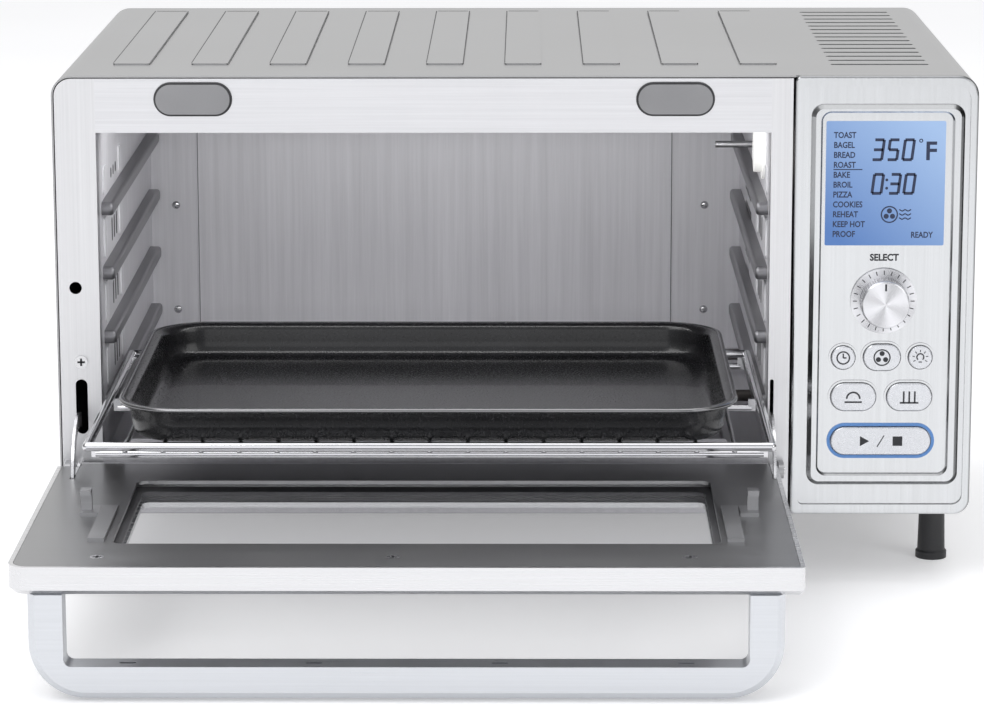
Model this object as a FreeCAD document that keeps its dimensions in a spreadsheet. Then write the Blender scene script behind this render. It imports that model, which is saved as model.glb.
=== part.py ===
import FreeCAD, Part
import math
import os
import re

import Sketcher

# Countertop convection toaster oven, in millimetres.
# The body is drawn in its own frame: X = 0 on the centre line, Y = 0 on the front plane with +Y
# into the body, Z = 0 on the underside. Every sub-part is then placed by front_y and foot_height,
# which puts the object's origin on the floor under the middle of its outline.
# The door is drawn open, the way it lies when food goes in.

DRIVING_SIZES = {
    # where the body stands in the object's frame
    "front_y": -50.5,
    "foot_height": 42,
    # body
    "body_width": 530,
    "body_depth": 330,
    "body_height": 258,
    "top_corner": 11.5,
    "low_corner": 9,
    "metal": 1,
    "seam": 0.6,
    "skin": 1.2,
    "fascia_seat": 2,
    "cover_hem": 9,
    "pan_flange": 25,
    # oven opening and cavity
    "opening_left": -240,
    "opening_right": 147,
    "opening_top": 225.2,
    "cavity_floor": 34,
    "cavity_top": 235,
    "cavity_back": 312,
    "lining_start": 12,
    "frame_right": 159.3,
    "back_panel_left": -209,
    "back_panel_right": 102,
    # top cover pressings
    "rib_first": -234.3,
    "rib_pitch": 45.7,
    "rib_width": 21.4,
    "rib_start": 48,
    "rib_end": 307,
    "rib_rise": 0.8,
    "louver_left": 184,
    "louver_right": 241,
    "louver_start": 48,
    "louver_pitch": 18.3,
    "louver_gap": 4.5,
    # vents of the rear panel and the base pan
    "vent_width": 4,
    "vent_length": 60,
    "rear_vent_first": -200,
    "rear_vent_level": 190,
    "rear_vent_pitch": 12,
    "base_vent_first": -180,
    "base_vent_y": 165,
    "base_vent_pitch": 30,
    # hinge line of the door
    "pivot_y": -7,
    "pivot_height": 28,
    "pin_radius": 2,
    "pin_fit": 0.05,
    "arm_thick": 1.6,
    "arm_left": -254,
    "arm_right": 148.3,
    "arm_inner": 26,
    "arm_outer": 34,
    "ear_radius": 4.5,
    "arm_slot_left": -251.5,
    "arm_slot_right": 149.2,
    "arm_slot_level": 64.5,
    "arm_slot_height": 32.4,
    "arm_slot_wide": 6.9,
    "arm_slot_narrow": 2.2,
    "catch_x": -253.6,
    "catch_level": 134.7,
    "catch_radius": 3.6,
    "bracket_left": -261.5,
    "bracket_right": 153.2,
    "pin_left": -262.5,
    "pin_right": 157,
    # door
    "door_left": -265,
    "door_right": 152.5,
    "door_front": -237,
    "door_rear": -4,
    "door_inner_face": 32,
    "door_depth": 15,
    "door_rim": 2.5,
    "door_skin": 3,
    "door_screw_left": -219.7,
    "door_screw_middle": -63.5,
    "door_screw_right": 93.3,
    "door_screw_y": -215,
    "screw_head": 3.8,
    "screw_sink": 1.2,
    "hook_left": -228.2,
    "hook_right": 114.5,
    "hook_width": 9,
    "hook_start": -184,
    "hook_end": -112,
    "claw_left": -238.5,
    "claw_right": 128.5,
    "claw_width": 6,
    "claw_foot_left": -228.3,
    "claw_foot_right": 124.3,
    "window_left": -215,
    "window_right": 111.5,
    "window_front": -188,
    "window_rear": -48,
    "glass": 4,
    "ledge": 3,
    "seal": 2,
    # handle
    "handle_left": -254.5,
    "handle_right": 142.4,
    "handle_low": -40,
    "handle_bar": 18,
    "handle_arm": 18.5,
    "handle_thick": 16,
    "handle_corner": 30,
    "handle_bevel": 4,
    # rack and pan
    "rack_left": -234.5,
    "rack_right": 141.5,
    "rack_front": -124,
    "rack_depth": 246,
    "rack_level": 70,
    "rod": 2.5,
    "wire": 1.4,
    "low_rod": 2,
    "low_rod_inset": 8,
    "rack_drop": 6,
    "guide_start": 20,
    "guide_end": 300,
    "guide_pitch": 38,
    "guide_height": 8,
    "guide_reach": 7,
    "rack_play": 0.3,
    "pan_left": -220.5,
    "pan_right": 124.5,
    "pan_front": -120,
    "pan_depth": 244,
    "pan_floor": 69,
    "pan_height": 21,
    "pan_corner": 35,
    "pan_lip": 6,
    # crumb tray
    "tray_left": -228,
    "tray_right": 124,
    "tray_front": 4,
    "tray_back": 300,
    "tray_floor": 34.3,
    "tray_wall": 6,
    "tray_lip": 10,
    # heating elements and fan
    "element_radius": 3.5,
    "element_front": 95,
    "element_rear": 215,
    "element_high": 222,
    "element_low": 50,
    "fan_y": 215,
    "fan_level": 140,
    "fan_radius": 40,
    "fan_window": 46,
    "shaft_radius": 3,
    "divider": 163,
    "lamp_y": 66,
    "lamp_level": 205,
    "lamp_flange": 17,
    "lamp_hole": 15,
    "probe_y": 120,
    "probe_level": 200,
    "probe_radius": 2,
    # control column
    "fascia_left": 160.5,
    "fascia_low": 0.6,
    "border": 4.4,
    "pod_left": 169.8,
    "pod_right": 257.4,
    "pod_low": 18.5,
    "pod_top": 241.6,
    "pod_rise": 4,
    "flat_left": 177.3,
    "flat_right": 249.3,
    "flat_low": 26.7,
    "flat_top": 236.2,
    "flat_rise": 1.5,
    "display_left": 178.2,
    "display_right": 246.6,
    "display_low": 159.9,
    "display_top": 232.1,
    "dial_x": 212.7,
    "dial_level": 127.7,
    "dial_skirt": 19,
    "dial_cap": 13.8,
    "dial_front": 16,
    "board_y": 14,
    "button_front": 3.5,
    "button_gap": 0.4,
    # pads and the screw on the front frame
    "bumper_left": -183.8,
    "bumper_right": 92,
    "bumper_level": 244.6,
    "bumper_thick": 2.8,
    "bumper_length": 42.4,
    "bumper_height": 17,
    "frame_screw_x": -251.3,
    "frame_screw_level": 91.1,
    # boards behind the fascia
    "power_board_x": 213,
    "power_front": 80,
    "power_back": 300,
    "power_low": 20,
    "power_top": 235,
    "board_thick": 1.6,
    # feet, gland
    "foot_x": 250.5,
    "foot_front": 63,
    "foot_back": 290,
    "foot_radius": 8.25,
    "foot_flange": 9.3,
    "gland_x": 215,
    "gland_level": 40,
    "gland_radius": 8,
    "cord_bore": 3.6,
    "gland_reach": 8,
}

doc = FreeCAD.newDocument("toaster_oven")
sheet = doc.addObject("Spreadsheet::Sheet", "sizes")
for row, (alias, number) in enumerate(DRIVING_SIZES.items(), start=1):
    sheet.set(f"A{row}", alias)
    sheet.set(f"B{row}", str(number))
    sheet.setAlias(f"B{row}", alias)
doc.recompute()

PARTS = []


# ---------------------------------------------------------------- sheet and expressions

def linked(formula):
    """Turn each sheet alias in a formula into a reference to its cell."""
    def swap(word):
        return "sizes." + word.group() if word.group() in DRIVING_SIZES else word.group()
    return re.sub(r"[a-z][a-z_]+", swap, str(formula))


def number(formula):
    """The present value of a formula."""
    return float(sheet.evalExpression(linked(formula)))


def bind(item, path, formula):
    item.setExpression(path, linked(formula))


def publish(item, label):
    """Name a sub-part and set it in the object's frame."""
    item.Label = label
    bind(item, "Placement.Base.y", "front_y")
    bind(item, "Placement.Base.z", "foot_height")
    PARTS.append(item)
    return item


# ---------------------------------------------------------------- sketches

class Outline:
    """Collects the geometry and rules of one sketch, so that the solver runs once."""

    def __init__(self):
        self.shapes = []
        self.rules = []
        self.formulas = {}

    def add(self, shape):
        self.shapes.append(shape)
        return len(self.shapes) - 1

    def rule(self, *terms):
        self.rules.append(Sketcher.Constraint(*terms))

    def hold_point(self, shape, point, axis, formula):
        """Fix one coordinate of a point to a formula."""
        now = number(formula)
        if abs(now) < 1e-9:
            self.rule("PointOnObject", shape, point, -2 if axis == "X" else -1)
            return
        self.formulas[len(self.rules)] = formula if now > 0 else f"-({formula})"
        if now > 0:
            self.rule("Distance" + axis, -1, 1, shape, point, now)
        else:
            self.rule("Distance" + axis, shape, point, -1, 1, -now)

    def hold_radius(self, shape, formula):
        self.formulas[len(self.rules)] = formula
        self.rule("Radius", shape, number(formula))

    def square_loop(self, corners):
        """Closed loop of level and upright lines through (x, y) or (x, y, corner radius)."""
        points = [FreeCAD.Vector(number(c[0]), number(c[1]), 0) for c in corners]
        radii = [number(c[2]) if len(c) > 2 else 0 for c in corners]
        count = len(corners)
        lines = []
        for i, point in enumerate(points):
            following = points[(i + 1) % count]
            way = (following - point).normalize()
            start = point + way * radii[i]
            end = following - way * radii[(i + 1) % count]
            line = self.add(Part.LineSegment(start, end))
            level = abs(way.y) < 1e-9
            self.rule("Horizontal" if level else "Vertical", line)
            self.hold_point(line, 1, "Y" if level else "X", corners[i][1] if level else corners[i][0])
            lines.append(line)
        for i in range(count):
            if radii[i] == 0:
                self.rule("Coincident", lines[i - 1], 2, lines[i], 1)
                continue
            curve, left_turn = corner_arc(points[i - 1], points[i], points[(i + 1) % count], radii[i])
            arc = self.add(curve)
            first, last = (1, 2) if left_turn else (2, 1)
            self.rule("Tangent", lines[i - 1], 2, arc, first)
            self.rule("Tangent", arc, last, lines[i], 1)
            self.hold_radius(arc, corners[i][2])

    def free_loop(self, corners):
        """Closed loop of straight lines through points given as (x, y)."""
        points = [FreeCAD.Vector(number(x), number(y), 0) for x, y in corners]
        lines = [self.add(Part.LineSegment(point, points[(i + 1) % len(points)]))
                 for i, point in enumerate(points)]
        for i, line in enumerate(lines):
            self.rule("Coincident", lines[i - 1], 2, line, 1)
            self.hold_point(line, 1, "X", corners[i][0])
            self.hold_point(line, 1, "Y", corners[i][1])

    def disc(self, x, y, radius):
        """Circle with its centre and radius held."""
        centre = FreeCAD.Vector(number(x), number(y), 0)
        circle = self.add(Part.Circle(centre, FreeCAD.Vector(0, 0, 1), number(radius)))
        self.hold_point(circle, 3, "X", x)
        self.hold_point(circle, 3, "Y", y)
        self.hold_radius(circle, radius)

    def draw(self, sketch):
        sketch.addGeometry(self.shapes)
        sketch.addConstraint(self.rules)
        for index, formula in self.formulas.items():
            bind(sketch, f"Constraints[{index}]", formula)


def corner_arc(before, corner, after, radius):
    """Arc that rounds a square corner, and whether it runs the way the outline does."""
    way_in = (corner - before).normalize()
    way_out = (after - corner).normalize()
    centre = corner - way_in * radius + way_out * radius
    left_turn = way_in.cross(way_out).z > 0
    start = corner - way_in * radius if left_turn else corner + way_out * radius
    angle = math.atan2(start.y - centre.y, start.x - centre.x)
    circle = Part.Circle(centre, FreeCAD.Vector(0, 0, 1), radius)
    return Part.ArcOfCircle(circle, angle, angle + math.pi / 2), left_turn


def rectangle(left, right, low, high, radius=None):
    """Corners of a rectangle, all rounded alike where a radius is given."""
    corners = [(left, low), (right, low), (right, high), (left, high)]
    return corners if radius is None else [corner + (radius,) for corner in corners]


def slot(x, y, length, width):
    """Corners of a round-ended slot centred on (x, y); the shorter side sets the round."""
    radius = f"({min(number(length), number(width))}) / 2 - 0.01"
    return rectangle(f"({x}) - ({length}) / 2", f"({x}) + ({length}) / 2",
                     f"({y}) - ({width}) / 2", f"({y}) + ({width}) / 2", radius)


# ---------------------------------------------------------------- bodies

def new_body(name):
    body = doc.addObject("PartDesign::Body", name)
    body.AllowCompound = True
    return body


def new_sketch(body, plane, level, loops):
    """Sketch on one of the body's own planes, moved along the axis normal to it."""
    sketch = body.newObject("Sketcher::SketchObject", body.Name + "_sketch")
    support = [item for item in body.Origin.OriginFeatures if item.Role == plane + "_Plane"][0]
    sketch.AttachmentSupport = (support, [""])
    sketch.MapMode = "FlatFace"
    bind(sketch, "AttachmentOffset.Base.z", f"-({level})" if plane == "XZ" else level)
    outline = Outline()
    for loop in loops:
        if loop[0] == "disc":
            outline.disc(*loop[1:])
        elif loop[0] == "free":
            outline.free_loop(loop[1:])
        else:
            outline.square_loop(loop)
    outline.draw(sketch)
    return sketch


def repeat(body, feature, axis, length, count):
    """Copy a feature evenly along one of its sketch's axes."""
    pattern = body.newObject("PartDesign::LinearPattern", feature.Name + "_row")
    pattern.Originals = [feature]
    pattern.Direction = (feature.Profile[0], [axis])
    bind(pattern, "Length", length)
    pattern.Occurrences = count
    body.Tip = pattern
    doc.recompute()
    return pattern


def pad(body, plane, low, high, loops):
    """Fill the loops from one level to another along X, Y or Z. Later loops inside are holes."""
    start = high if plane == "XZ" else low
    feature = body.newObject("PartDesign::Pad", body.Name + "_pad")
    feature.Profile = new_sketch(body, plane, start, loops)
    bind(feature, "Length", f"({high}) - ({low})")
    doc.recompute()
    return feature


def pocket(body, plane, low, high, loops):
    """Cut the loops away from one level to another, and check that something went."""
    before = body.Shape.Volume
    start = high if plane == "XZ" else low
    feature = body.newObject("PartDesign::Pocket", body.Name + "_pocket")
    feature.Profile = new_sketch(body, plane, start, loops)
    feature.Reversed = True
    bind(feature, "Length", f"({high}) - ({low})")
    doc.recompute()
    if body.Shape.Volume >= before:
        raise RuntimeError(f"{feature.Name} cuts nothing")
    return feature


def turned(body, plane, loops, axis):
    """Spin a half profile about one of the sketch's own axes."""
    feature = body.newObject("PartDesign::Revolution", body.Name + "_turned")
    sketch = new_sketch(body, plane, "0", loops)
    feature.Profile = sketch
    feature.ReferenceAxis = (sketch, [axis])
    feature.Angle = 360
    doc.recompute()
    return feature


def soften(body, kind, size, wanted):
    """Fillet or chamfer the edges of the tip that the test picks."""
    tip = body.Tip
    names = [f"Edge{i}" for i, edge in enumerate(tip.Shape.Edges, start=1) if wanted(edge)]
    feature = body.newObject("PartDesign::" + kind, body.Name + "_" + kind.lower())
    feature.Base = (tip, names)
    bind(feature, "Radius" if kind == "Fillet" else "Size", size)
    doc.recompute()
    return feature


def panel(name, plane, low, high, loops):
    """Sub-part padded from one sketch."""
    body = new_body(name)
    pad(body, plane, low, high, loops)
    return publish(body, name)


def flat_at(edge, axis, level):
    """Whether an edge lies at one level along an axis."""
    return all(abs(getattr(vertex.Point, axis) - level) < 1e-4 for vertex in edge.Vertexes)


# ---------------------------------------------------------------- Part primitives

def block(name, x_range, y_range, z_range):
    item = doc.addObject("Part::Box", name)
    for side, corner, (low, high) in zip(("Length", "Width", "Height"), "xyz",
                                         (x_range, y_range, z_range)):
        bind(item, side, f"({high}) - ({low})")
        bind(item, f"Placement.Base.{corner}", low)
    return item


TURN_TO = {"x": (FreeCAD.Vector(0, 1, 0), 90), "y": (FreeCAD.Vector(1, 0, 0), -90),
           "z": (FreeCAD.Vector(0, 0, 1), 0)}


def cylinder(name, axis, radius, low, high, across):
    """Cylinder along an axis from low to high; across gives the other two coordinates in order."""
    item = doc.addObject("Part::Cylinder", name)
    bind(item, "Radius", radius)
    bind(item, "Height", f"({high}) - ({low})")
    item.Placement = FreeCAD.Placement(FreeCAD.Vector(), FreeCAD.Rotation(*TURN_TO[axis]))
    places = iter(across)
    for letter in "xyz":
        bind(item, f"Placement.Base.{letter}", low if letter == axis else next(places))
    return item


def joined(name, items):
    item = doc.addObject("Part::MultiFuse", name)
    item.Shapes = items
    return item


def grouped(name, items):
    item = doc.addObject("Part::Compound", name)
    item.Links = items
    return item


def cut(name, base, tool):
    item = doc.addObject("Part::Cut", name)
    item.Base = base
    item.Tool = tool
    return item


# ---------------------------------------------------------------- casing

def casing():
    left = "-body_width / 2"
    right = "body_width / 2"

    cover = new_body("outer_cover")
    pad(cover, "XZ", "0", "body_depth - metal", [[
        (left, "cover_hem"), (right, "cover_hem"), (right, "body_height", "top_corner"),
        (left, "body_height", "top_corner")][::-1]])
    pocket(cover, "XZ", "-1", "body_depth", [[
        (f"{left} + metal", "cover_hem - 1"), (f"{right} - metal", "cover_hem - 1"),
        (f"{right} - metal", "body_height - metal", "top_corner - metal"),
        (f"{left} + metal", "body_height - metal", "top_corner - metal")]])
    pocket(cover, "XZ", "-1", "fascia_seat", [
        rectangle("fascia_left", f"{right} + 1", "cover_hem - 1", "body_height + 1")])
    louver = pocket(cover, "XY", "body_height - 3", "body_height + 1", [
        slot("(louver_left + louver_right) / 2", "louver_start",
             "louver_right - louver_left", "louver_gap")])
    repeat(cover, louver, "V_Axis", "14 * louver_pitch", 15)
    rib = pad(cover, "XY", "body_height", "body_height + rib_rise", [
        rectangle("rib_first", "rib_first + rib_width", "rib_start", "rib_end", "1.5")])
    repeat(cover, rib, "H_Axis", "8 * rib_pitch", 9)
    publish(cover, "outer_cover")

    rear = new_body("rear_panel")
    pad(rear, "XZ", "body_depth - metal", "body_depth", [
        [(left, "0", "low_corner"), (left, "body_height", "top_corner"),
         (right, "body_height", "top_corner"), (right, "0", "low_corner")],
        ("disc", "gland_x", "gland_level", "gland_radius")])
    vent = pocket(rear, "XZ", "body_depth - 2 * metal", "body_depth + 1", [
        slot("rear_vent_first", "rear_vent_level", "vent_width", "vent_length")])
    repeat(rear, vent, "H_Axis", "19 * rear_vent_pitch", 20)
    publish(rear, "rear_panel")

    base = new_body("base_pan")
    pad(base, "XZ", "fascia_seat", "body_depth - metal", [[
        (f"{left} + metal", "pan_flange"), (f"{left} + metal", "0", "low_corner"),
        (f"{right} - metal", "0", "low_corner"), (f"{right} - metal", "pan_flange"),
        (f"{right} - 2 * metal", "pan_flange"),
        (f"{right} - 2 * metal", "metal", "low_corner - metal"),
        (f"{left} + 2 * metal", "metal", "low_corner - metal"),
        (f"{left} + 2 * metal", "pan_flange")]])
    vent = pocket(base, "XY", "-1", "metal + 1", [
        slot("base_vent_first", "base_vent_y", "vent_width", "vent_length")])
    repeat(base, vent, "H_Axis", "12 * base_vent_pitch", 13)
    publish(base, "base_pan")


def front_frame():
    outer = "body_width / 2 - metal - seam"
    top = "body_height - metal - seam"

    stile = new_body("left_stile")
    pad(stile, "XZ", "0", "skin", [
        [(f"-({outer})", "metal"), (f"-({outer})", top, "top_corner - metal - seam"),
         ("opening_left", top), ("opening_left", "metal")],
        slot("arm_slot_left", "arm_slot_level", "arm_slot_wide", "arm_slot_height"),
        ("disc", "catch_x", "catch_level", "catch_radius"),
        ("disc", "frame_screw_x", "frame_screw_level", "1.6")])
    pad(stile, "XZ", "skin", "lining_start", [
        rectangle("opening_left - metal", "opening_left", "cavity_floor", "cavity_top + metal")])
    publish(stile, "left_stile")

    lintel = new_body("lintel")
    pad(lintel, "XZ", "0", "skin", [rectangle("opening_left", "opening_right", "opening_top", top)])
    pad(lintel, "XZ", "skin", "lining_start - 4", [
        rectangle("opening_left", "opening_right", "opening_top", "opening_top + metal")])
    publish(lintel, "lintel")

    stile = new_body("right_stile")
    pad(stile, "XZ", "0", "skin", [
        rectangle("opening_right", "frame_right", "metal", top),
        slot("arm_slot_right", "arm_slot_level", "arm_slot_narrow", "arm_slot_height")])
    pad(stile, "XZ", "skin", "lining_start", [
        rectangle("opening_right", "opening_right + metal", "cavity_floor", "cavity_top + metal")])
    publish(stile, "right_stile")

    panel("door_bumpers", "XZ", "-bumper_thick", "0", [
        slot(x, "bumper_level", "bumper_length", "bumper_height") for x in ("bumper_left", "bumper_right")])

    screws = new_body("frame_screws")
    pad(screws, "XZ", "-screw_sink", "0", [
        ("disc", "frame_screw_x", "frame_screw_level", "screw_head")])
    pad(screws, "XZ", "0", "8", [("disc", "frame_screw_x", "frame_screw_level", "1.5")])
    publish(screws, "frame_screws")

    brackets = []
    for side, low, high in (("left", "bracket_left", "bracket_left + 3.5"),
                            ("right", "bracket_right", "bracket_right + 3")):
        name = "bracket_" + side
        ear = cylinder(name + "_ear", "x", "ear_radius", low, high, ("pivot_y", "pivot_height"))
        foot = block(name + "_foot", (low, high), ("pivot_y", "0"),
                     ("pivot_height - ear_radius", "pivot_height + ear_radius"))
        bore = cylinder(name + "_bore", "x", "pin_radius + pin_fit", f"{low} - 1", f"{high} + 1",
                        ("pivot_y", "pivot_height"))
        brackets.append(cut(name, joined(name + "_solid", [ear, foot]), bore))
    publish(grouped("hinge_brackets", brackets), "hinge_brackets")


# ---------------------------------------------------------------- cavity

def element_holes(radius):
    return [("disc", y, z, radius) for y in ("element_front", "element_rear")
            for z in ("element_low", "element_high")]


def cavity():
    wrapper = new_body("cavity_wrapper")
    pad(wrapper, "XZ", "lining_start", "cavity_back", [[
        ("opening_left - metal", "cavity_floor - metal"), ("opening_left", "cavity_floor - metal"),
        ("opening_left", "cavity_top"), ("opening_right", "cavity_top"),
        ("opening_right", "cavity_floor - metal"), ("opening_right + metal", "cavity_floor - metal"),
        ("opening_right + metal", "cavity_top + metal"),
        ("opening_left - metal", "cavity_top + metal")]])
    pocket(wrapper, "YZ", "opening_left - 2 * metal", "opening_left + metal",
           element_holes("element_radius"))
    pocket(wrapper, "YZ", "opening_right - metal", "opening_right + 2 * metal",
           [("disc", "fan_y", "fan_level", "fan_window"), ("disc", "lamp_y", "lamp_level", "lamp_hole"),
            ("disc", "probe_y", "probe_level", "probe_radius")] + element_holes("element_radius"))
    publish(wrapper, "cavity_wrapper")

    floor = new_body("cavity_floor_panel")
    pad(floor, "XY", "cavity_floor - metal", "cavity_floor", [
        rectangle("opening_left", "opening_right", "0", "cavity_back")])
    pad(floor, "XZ", "0", "skin", [
        rectangle("opening_left", "opening_right", "metal", "cavity_floor - metal / 2")])
    publish(floor, "cavity_floor_panel")

    back = new_body("cavity_back_wall")
    pad(back, "XZ", "cavity_back", "cavity_back + metal", [
        rectangle("opening_left - metal", "opening_right + metal",
                  "cavity_floor - metal", "cavity_top + metal")])
    pad(back, "XZ", "cavity_back - 1.5", "cavity_back", [
        rectangle("back_panel_left", "back_panel_right", "cavity_floor + 8", "cavity_top - 8", "6")])
    publish(back, "cavity_back_wall")

    panel("insulation_blanket", "XY", "cavity_top + metal", "cavity_top + 11", [
        rectangle("opening_left + 4", "opening_right - 4", "lining_start + 4", "cavity_back - 4", "8")])
    panel("divider_wall", "YZ", "divider", "divider + metal", [
        rectangle("fascia_seat", "body_depth - metal", "metal", "body_height - metal"),
        ("disc", "fan_y", "fan_level", "shaft_radius + 1"),
        slot("60", "110", "30", "10"), slot("60", "70", "30", "10")])

    guides = new_body("rack_guides")
    ribs = []
    for i in range(4):
        crest = f"rack_level - rod - rack_play + {i} * guide_pitch"
        ribs.append(rectangle("guide_start", "guide_end", f"{crest} - guide_height", crest,
                              "guide_height / 2 - 0.1"))
    pad(guides, "YZ", "opening_left", "opening_left + guide_reach", ribs)
    pad(guides, "YZ", "opening_right - guide_reach", "opening_right", ribs)
    crests = [number("opening_left + guide_reach"), number("opening_right - guide_reach")]
    soften(guides, "Fillet", "2", lambda edge: any(flat_at(edge, "x", crest) for crest in crests))
    publish(guides, "rack_guides")


def heating():
    panel("heating_elements", "YZ", "opening_left - 9", "opening_right + 9",
          element_holes("element_radius"))
    bushes = new_body("element_insulators")
    for low, high in (("opening_left - 7", "opening_left - metal"),
                      ("opening_right + metal", "opening_right + 7")):
        pad(bushes, "YZ", low, high, element_holes("8") + element_holes("element_radius"))
    publish(bushes, "element_insulators")

    panel("temperature_probe", "YZ", "opening_right - 26", "opening_right + 8", [
        ("disc", "probe_y", "probe_level", "probe_radius")])


def convection_fan():
    slats = [slot("fan_y", f"fan_level - 35 + {i} * 10", f"{70 - 3.1 * abs(i - 3.5) ** 2}", "4")
             for i in range(8)]
    panel("fan_grille", "YZ", "opening_right", "opening_right + metal",
          [("disc", "fan_y", "fan_level", "fan_window - 0.1")] + slats)

    wheel = [cylinder("fan_plate", "x", "fan_radius", "divider - 4", "divider - 3",
                      ("fan_y", "fan_level")),
             cylinder("fan_hub", "x", "9", "divider - 12", "divider - 2.5", ("fan_y", "fan_level"))]
    for i in range(12):
        blade = doc.addObject("Part::Box", f"fan_blade_{i}")
        bind(blade, "Length", "8.5")
        bind(blade, "Width", "fan_radius - 12")
        bind(blade, "Height", "1")
        turn = FreeCAD.Rotation(FreeCAD.Vector(1, 0, 0), 30 * i)
        reach = turn.multVec(FreeCAD.Vector(0, 11, -0.5))
        blade.Placement = FreeCAD.Placement(FreeCAD.Vector(), turn)
        bind(blade, "Placement.Base.x", "divider - 12")
        bind(blade, "Placement.Base.y", f"fan_y + {reach.y:.6f}")
        bind(blade, "Placement.Base.z", f"fan_level + {reach.z:.6f}")
        wheel.append(blade)
    wheel.append(cylinder("fan_shaft", "x", "shaft_radius", "divider - 12", "divider + 18",
                          ("fan_y", "fan_level")))
    publish(joined("fan_wheel", wheel), "fan_wheel")

    motor = new_body("fan_motor")
    pad(motor, "YZ", "divider + metal", "divider + 14", [
        ("disc", "fan_y", "fan_level", "24"),
        ("disc", "fan_y", "fan_level", "shaft_radius + 0.05")])
    pad(motor, "YZ", "divider + 14", "divider + 30", [
        ("disc", "fan_y", "fan_level", "18"),
        ("disc", "fan_y", "fan_level", "shaft_radius + 0.05")])
    publish(motor, "fan_motor")


def oven_light():
    cover = new_body("lamp_cover")
    pad(cover, "YZ", "opening_right - 1.5", "opening_right", [
        ("disc", "lamp_y", "lamp_level", "lamp_flange")])
    pad(cover, "YZ", "opening_right - 6", "opening_right - 1.5", [
        ("disc", "lamp_y", "lamp_level", "lamp_flange - 4")])
    pocket(cover, "YZ", "opening_right - 4.5", "opening_right", [
        ("disc", "lamp_y", "lamp_level", "lamp_flange - 5.5")])
    publish(cover, "lamp_cover")
    panel("lamp_socket", "XY", "lamp_level - 33", "lamp_level - 17", [
        rectangle("opening_right + 2", "opening_right + 14", "lamp_y - 9", "lamp_y + 9", "2")])
    panel("oven_lamp", "XY", "lamp_level - 17", "lamp_level + 9", [
        ("disc", "opening_right + 8", "lamp_y", "4.5")])


# ---------------------------------------------------------------- door

DOOR_SCREWS = ("door_screw_left", "door_screw_middle", "door_screw_right")


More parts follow.
